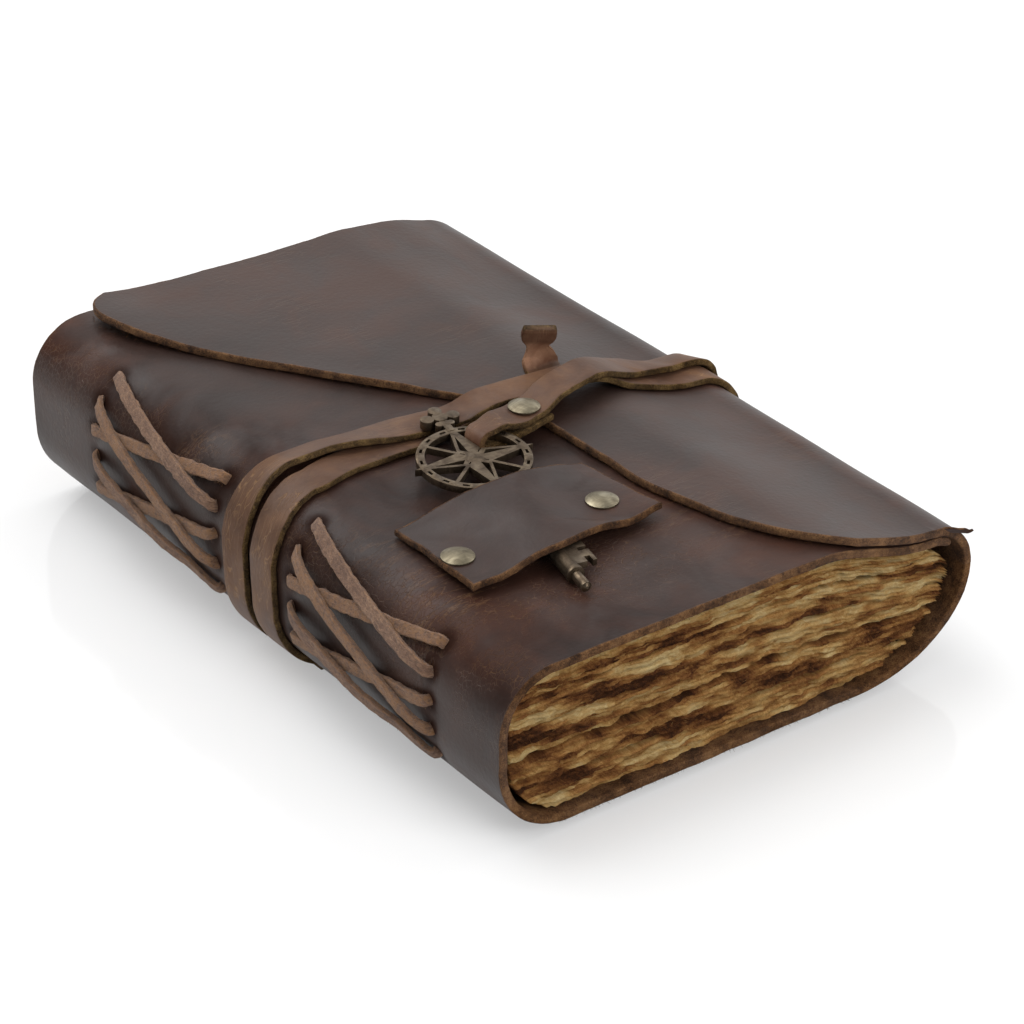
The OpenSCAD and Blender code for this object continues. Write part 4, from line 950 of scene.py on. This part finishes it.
# A four-cornered patch whose height is a raised cosine across the key, higher towards the key's ring
def keeperPatch():
    k, key = keeper, keyLie
    wide, deep = k["long"], k["deep"]

    def steps(size, n):
        near = edgeRows / size
        return np.unique(np.concatenate([near, np.linspace(3.5 / size, 1 - 3.5 / size, n), 1 - near]))

    uu, vv = np.meshgrid(steps(wide, 60), steps(deep, 34), indexing="ij")
    flat = np.stack([uu * wide, vv * deep], -1)
    c = np.array(k["corners"], float)
    p = mix(mix(c[0], c[1], uu[..., None]), mix(c[3], c[2], uu[..., None]), vv[..., None])
    off = np.minimum(np.minimum(uu, 1 - uu) * wide, np.minimum(vv, 1 - vv) * deep)
    wob = layered(flat, 71, (13, 0.3), (3, 0.12)) * np.exp(-off / 2.5)
    p = p + wob[..., None] * np.stack([np.sign(uu - 0.5), np.sign(vv - 0.5)], -1) * 0.7
    x, y = p[..., 0], p[..., 1]
    turn = math.radians(key["turn"])

    def acrossKey():
        return (x - key["x"]) * math.cos(turn) - (y - key["y"]) * math.sin(turn)

    across = acrossKey()
    y = y - k["nearBow"] * (1 - vv) ** 3 * bell(across - 1, 10) - k["farBow"] * vv ** 3 * bell(across, 17)
    across = acrossKey()
    along = (x - key["x"]) * math.sin(turn) + (y - key["y"]) * math.cos(turn)
    sink = math.sin(math.radians(key["pitch"]))
    keyH = key["shaft"] / 2 + 0.2 + (key["length"] - key["tip"]) * sink
    top = keyH + along * sink + key["shaft"] / 2 + 0.15 - k["lift"]
    # The arch is narrow beside each rivet and wide where the patch is free
    left = mix(k["nearArch"], k["farArch"], ease((along + 32) / 10))
    right = mix(k["nearArch"], k["farArch"], np.clip(ease((along + 22) / 9) + ease((-34 - along) / 7), 0, 1))
    arch = np.where(across < 0, left, right)
    h = k["lift"] + top * (1 + np.cos(math.pi * np.minimum(1, np.abs(across) / arch))) / 2
    curl = 0
    for cu, cv, size, reach in ((1, 0, 0.9, 6.5), (1, 1, -0.9, 9), (0, 1, -1.3, 10)):
        curl = curl + size * bell((uu - cu) * wide, reach, (vv - cv) * deep, reach)
    outer = leaned(x, y, book["height"] + h + k["thickness"] + curl)
    rub = 0.25 * np.exp(-off / 1.2) + 0.12 * bell(across, 7)
    values = {"bloomSheenShare": k["bloomAndSheen"] + 0 * x, "rubbed": rub, "shade": 0 * rub}
    leatherSheet("keeper", outer, gridNormals(outer), k["thickness"], off, keeperLeather,
                 ["keeper_patch"], flat, values, 0.6)


keeperPatch()
print("stage: keeper")


# Metal: the key's own solid, merged and given rounded edges; the caps keep theirs
def roundedCopy(node, name, width):
    piece = bpy.data.objects.new(name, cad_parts[node].data.copy())
    bpy.context.collection.objects.link(piece)
    shape = bmesh.new()
    shape.from_mesh(piece.data)
    bmesh.ops.remove_doubles(shape, verts=shape.verts, dist=2e-6)
    bmesh.ops.dissolve_limit(shape, angle_limit=math.radians(1), verts=shape.verts, edges=shape.edges)
    for facet in shape.faces:
        facet.smooth = True
    shape.to_mesh(piece.data)
    shape.free()
    piece.data.materials.clear()
    piece.data.materials.append(brass)
    bevel = piece.modifiers.new("rounded edges", "BEVEL")
    bevel.width = width / 1000
    bevel.segments = 2
    bevel.limit_method = "ANGLE"
    bevel.angle_limit = math.radians(40)
    bevel.harden_normals = True
    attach(piece, "root")
    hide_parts(node)


roundedCopy("compass_key", "compass_key_cast", 0.16)
for rivet in ("keeper_cap_left", "keeper_cap_right", "strap_cap", "keeper_back_left", "keeper_back_right",
              "strap_back"):
    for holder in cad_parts[rivet].material_slots:
        holder.material = capBrass
print("stage: metal")


# Fibres: tapered three-sided threads from a root along a way, bent by a share of their length
def fibres(name, root, way, length, radius, material, seed, droop=0.25, values=None):
    rng = np.random.default_rng(seed)
    count = len(root)
    s = np.array([0, 0.35, 0.7, 1.0])
    bend = unit(rng.normal(size=(count, 3))) * rng.uniform(0.2, 0.9, (count, 1))
    curve = (root[:, None] + way[:, None] * (length[:, None] * s)[..., None]
             + bend[:, None] * (length[:, None] * s ** 2)[..., None] * 0.45)
    curve[..., 2] -= droop * length[:, None] * s ** 2 * 0.5
    a = unit(np.cross(way, rng.normal(size=(count, 3))))
    b = np.cross(way, a)
    angle = np.radians([0, 120, 240])
    ring = a[:, None] * np.cos(angle)[None, :, None] + b[:, None] * np.sin(angle)[None, :, None]
    size = np.broadcast_to(radius, count)[:, None] * np.array([1, 0.85, 0.6, 0.15])
    points = curve[:, :, None] + ring[:, None] * size[:, :, None, None]
    one = gridFaces(4, 3, True)
    first = 12 * np.arange(count)[:, None, None]
    faces = (one[None] + first).reshape(-1, 4)
    caps = (np.array([[2, 1, 0], [9, 10, 11]])[None] + first).reshape(-1, 3)
    extra = {key: np.repeat(value, 12) for key, value in (values or {}).items()}
    makePiece(name, points, [faces, caps], material, (), extra)


fuzz = dict(paper=800, strap=1500, thong=900, leather=2100)


def paperFibres():
    rng = np.random.default_rng(12)
    count = fuzz["paper"]
    rows = np.arange(pageShape[0])
    tips = rows[(rows % 5 == 2) & (rows // 5 % (pages["sheets"] + 1) < pages["sheets"])]
    r = rng.choice(tips, count)
    tail = rng.random(count) < 0.6
    c = rng.integers(4, tailCount - 4, count)
    c = np.where(tail, c, tailCount + pages["foreSteps"] + 1 + c)
    out = np.where(tail, -1.0, 1.0)
    way = unit(np.stack([rng.normal(0, 0.9, count), out * rng.uniform(0.15, 1, count),
                         rng.normal(0, 0.35, count)], -1))
    length = rng.uniform(0.4, 1.5, count)
    values = {"tone": rng.uniform(0.55, 1.1, count), "gapShade": np.zeros(count)}
    fibres("paper_fibres", pagePoints[r, c], way, length, 0.032, paper, 13, 0.2, values)


# Nap has the cut edge's colour, rubbed and darkened nowhere
def napValues(count):
    return {"cut": np.ones(count), "rubbed": np.zeros(count), "shade": np.zeros(count)}


# Nap on a strip's cut edges, on both sides along its length
def stripNap(name, run, half, count, material, seed):
    mid, side, face, width = run
    rng = np.random.default_rng(seed)
    i = rng.integers(4, len(mid) - 4, count)
    sign = rng.choice([-1.0, 1.0], count)[:, None]
    root = mid[i] + side[i] * sign * (width[i][:, None] / 2 - 0.1)
    root = root + face[i] * rng.uniform(-half, half, (count, 1))
    way = unit(side[i] * sign + rng.normal(0, 0.5, (count, 3)))
    length = rng.uniform(0.25, 0.85, count)
    fibres(name, root, way, length, 0.035, material, seed + 1, 0.1, napValues(count))


# Nap along the hide's cut edges: a third each on the flap's edge and on the front's and back's tail edges
def hideNap():
    rng = np.random.default_rng(32)
    n = fuzz["leather"] // 3
    y = rng.uniform(2, 200, n)
    x = flapEdge(y)
    edge = leanedAt(x, y, frontZ(x) + flapRise - rng.uniform(0.3, 1.9, n))
    edgeWay = np.stack([-np.ones_like(y), -0.4 * np.ones_like(y), 0 * y], -1)
    px = rng.uniform(14, 126, n)
    top = leanedAt(px, 0.05 + 0 * px, frontZ(px) - rng.uniform(0.2, 2.0, n))
    low = np.stack([rng.uniform(16, 104, n), 0.05 + 0 * px, rng.uniform(0.2, 2.0, n)], -1)
    out = np.broadcast_to([0.0, -1.0, 0.0], (n, 3))
    root = np.concatenate([edge, top, low])
    way = np.concatenate([edgeWay, out, out])
    way = unit(way + rng.normal(0, 0.45, way.shape))
    length = rng.uniform(0.25, 0.9, len(root))
    fibres("hide_nap", root, way, length, 0.045, coverLeather, 33, 0.1, napValues(len(root)))


paperFibres()
stripNap("strap_nap", strapRun, 0.7, fuzz["strap"], strapLeather, 22)
for number, run in enumerate(thongRuns):
    stripNap("thong_nap_%d" % number, run, 0.5, fuzz["thong"], suede, 25 + 2 * number)
hideNap()

# A frayed flick of hide at the corner of the roll: x, y and z of its middle, then its width
flick = np.array([[130.2, 0.6, 36.7, 1.6], [132.2, 0.1, 36.3, 1.7], [134.4, -0.2, 35.7, 1.3],
                  [136.4, -0.4, 35.0, 1.4], [137.8, -0.6, 34.4, 0.9], [138.8, -0.8, 34.6, 0.5]])
flickLine = stations(leanedAt(*flick[:, :3].T), (0, -0.3, 1), flick[:, 3])
carryStrip("frayed_corner", flickLine, 0.7, coverLeather, (), 3, 0.25, 0.15, 91)
print("stage: fibres")

# Stage: floor, world, lamps, camera
studio = dict(floorSize=6.0, floorWhite=0.84, floorGlow=0.35, worldLight=0.72, brightSide=(-0.62, -0.78, 0.0),
              sheen=0.98, sheenLow=0.08, keyPower=14.5, fillPower=8.0, sidePower=3.0)
view = dict(yaw=36.44, pitch=29.23, roll=-0.06, target=(0.00219, -0.0101, 0.0221), distance=0.846, lens=119.6)


def studioFloor():
    material, add = painter("pale floor")
    ray = add("ShaderNodeLightPath", out=None)
    seen = sums(add, "MAXIMUM", ray.outputs["Is Camera Ray"], ray.outputs["Is Glossy Ray"])
    tint = colour(*[studio["floorWhite"]] * 3)
    plain = add("ShaderNodeBsdfPrincipled", {"Base Color": tint, "Roughness": 0.08,
                                             "Specular IOR Level": 0.56})
    white = add("ShaderNodeEmission", {"Color": colour(1, 1, 1), "Strength": 1.0})
    both = add("ShaderNodeMixShader", {0: times(add, seen, studio["floorGlow"]), 1: plain, 2: white})
    add("ShaderNodeOutputMaterial", {"Surface": both}, out=None)
    half = studio["floorSize"] / 2
    mesh = bpy.data.meshes.new("floor")
    corners = [(-half, -half, 0), (half, -half, 0), (half, half, 0), (-half, half, 0)]
    mesh.from_pydata(corners, [], [(0, 1, 2, 3)])
    floor = bpy.data.objects.new("floor", mesh)
    mesh.materials.append(material)
    bpy.context.collection.objects.link(floor)


# White where the camera looks; what the surfaces mirror is bright behind the book and dark to its left
def studioWorld():
    world = bpy.data.worlds.new("studio")
    bpy.context.scene.world = world
    world.use_nodes = True
    add = adder(world.node_tree)
    ray = add("ShaderNodeLightPath", out=None)
    incoming = add("ShaderNodeNewGeometry", out="Incoming")
    facing = add("ShaderNodeVectorMath", {0: incoming, 1: studio["brightSide"]}, "Value",
                 operation="DOT_PRODUCT")
    sheen = between(add, facing, 0.1, 0.85, studio["sheenLow"], studio["sheen"])
    plain, mirrored, white = (add("ShaderNodeBackground", {"Color": colour(1, 1, 1), "Strength": strength})
                              for strength in (studio["worldLight"], sheen, 1.0))
    lit = add("ShaderNodeMixShader", {0: ray.outputs["Is Glossy Ray"], 1: plain, 2: mirrored})
    seen = add("ShaderNodeMixShader", {0: ray.outputs["Is Camera Ray"], 1: lit, 2: white})
    add("ShaderNodeOutputWorld", {"Surface": seen}, out=None)


def areaLamp(name, place, aim, size, power):
    light = bpy.data.lights.new(name, "AREA")
    light.shape = "RECTANGLE"
    light.size, light.size_y = size
    light.energy = power
    lamp = bpy.data.objects.new(name, light)
    lamp.location = place
    lamp.rotation_euler = (Vector(aim) - Vector(place)).to_track_quat("-Z", "Y").to_euler()
    bpy.context.collection.objects.link(lamp)


# The camera looks at the target from its distance, turned by yaw, pitch and roll
def studioCamera():
    yaw, pitch, roll = (math.radians(view[key]) for key in ("yaw", "pitch", "roll"))
    ahead = np.array([math.sin(yaw) * math.cos(pitch), math.cos(yaw) * math.cos(pitch), -math.sin(pitch)])
    right = np.array([math.cos(yaw), -math.sin(yaw), 0.0])
    up = np.cross(right, ahead)
    place = np.eye(4)
    place[:3, 0] = right * math.cos(roll) + up * math.sin(roll)
    place[:3, 1] = up * math.cos(roll) - right * math.sin(roll)
    place[:3, 2] = -ahead
    place[:3, 3] = np.array(view["target"]) - ahead * view["distance"]
    lens = bpy.data.cameras.new("camera")
    lens.lens, lens.sensor_width = view["lens"], 36.0
    lens.clip_start, lens.clip_end = 0.01, 20
    camera = bpy.data.objects.new("camera", lens)
    camera.matrix_world = Matrix(place.tolist())
    bpy.context.collection.objects.link(camera)
    bpy.context.scene.camera = camera


studioFloor()
studioWorld()
areaLamp("key softbox", (-0.3, 0.6, 1.3), (0, 0, 0.03), (1.2, 1.2), studio["keyPower"])
areaLamp("front fill", (0.3, -1.2, 0.7), (0, 0, 0.02), (0.9, 0.6), studio["fillPower"])
areaLamp("side fill", (1.1, 0.1, 0.9), (0, 0, 0.02), (0.7, 0.7), studio["sidePower"])
studioCamera()
bpy.context.scene.view_settings.view_transform = "Standard"
print("stage: studio")
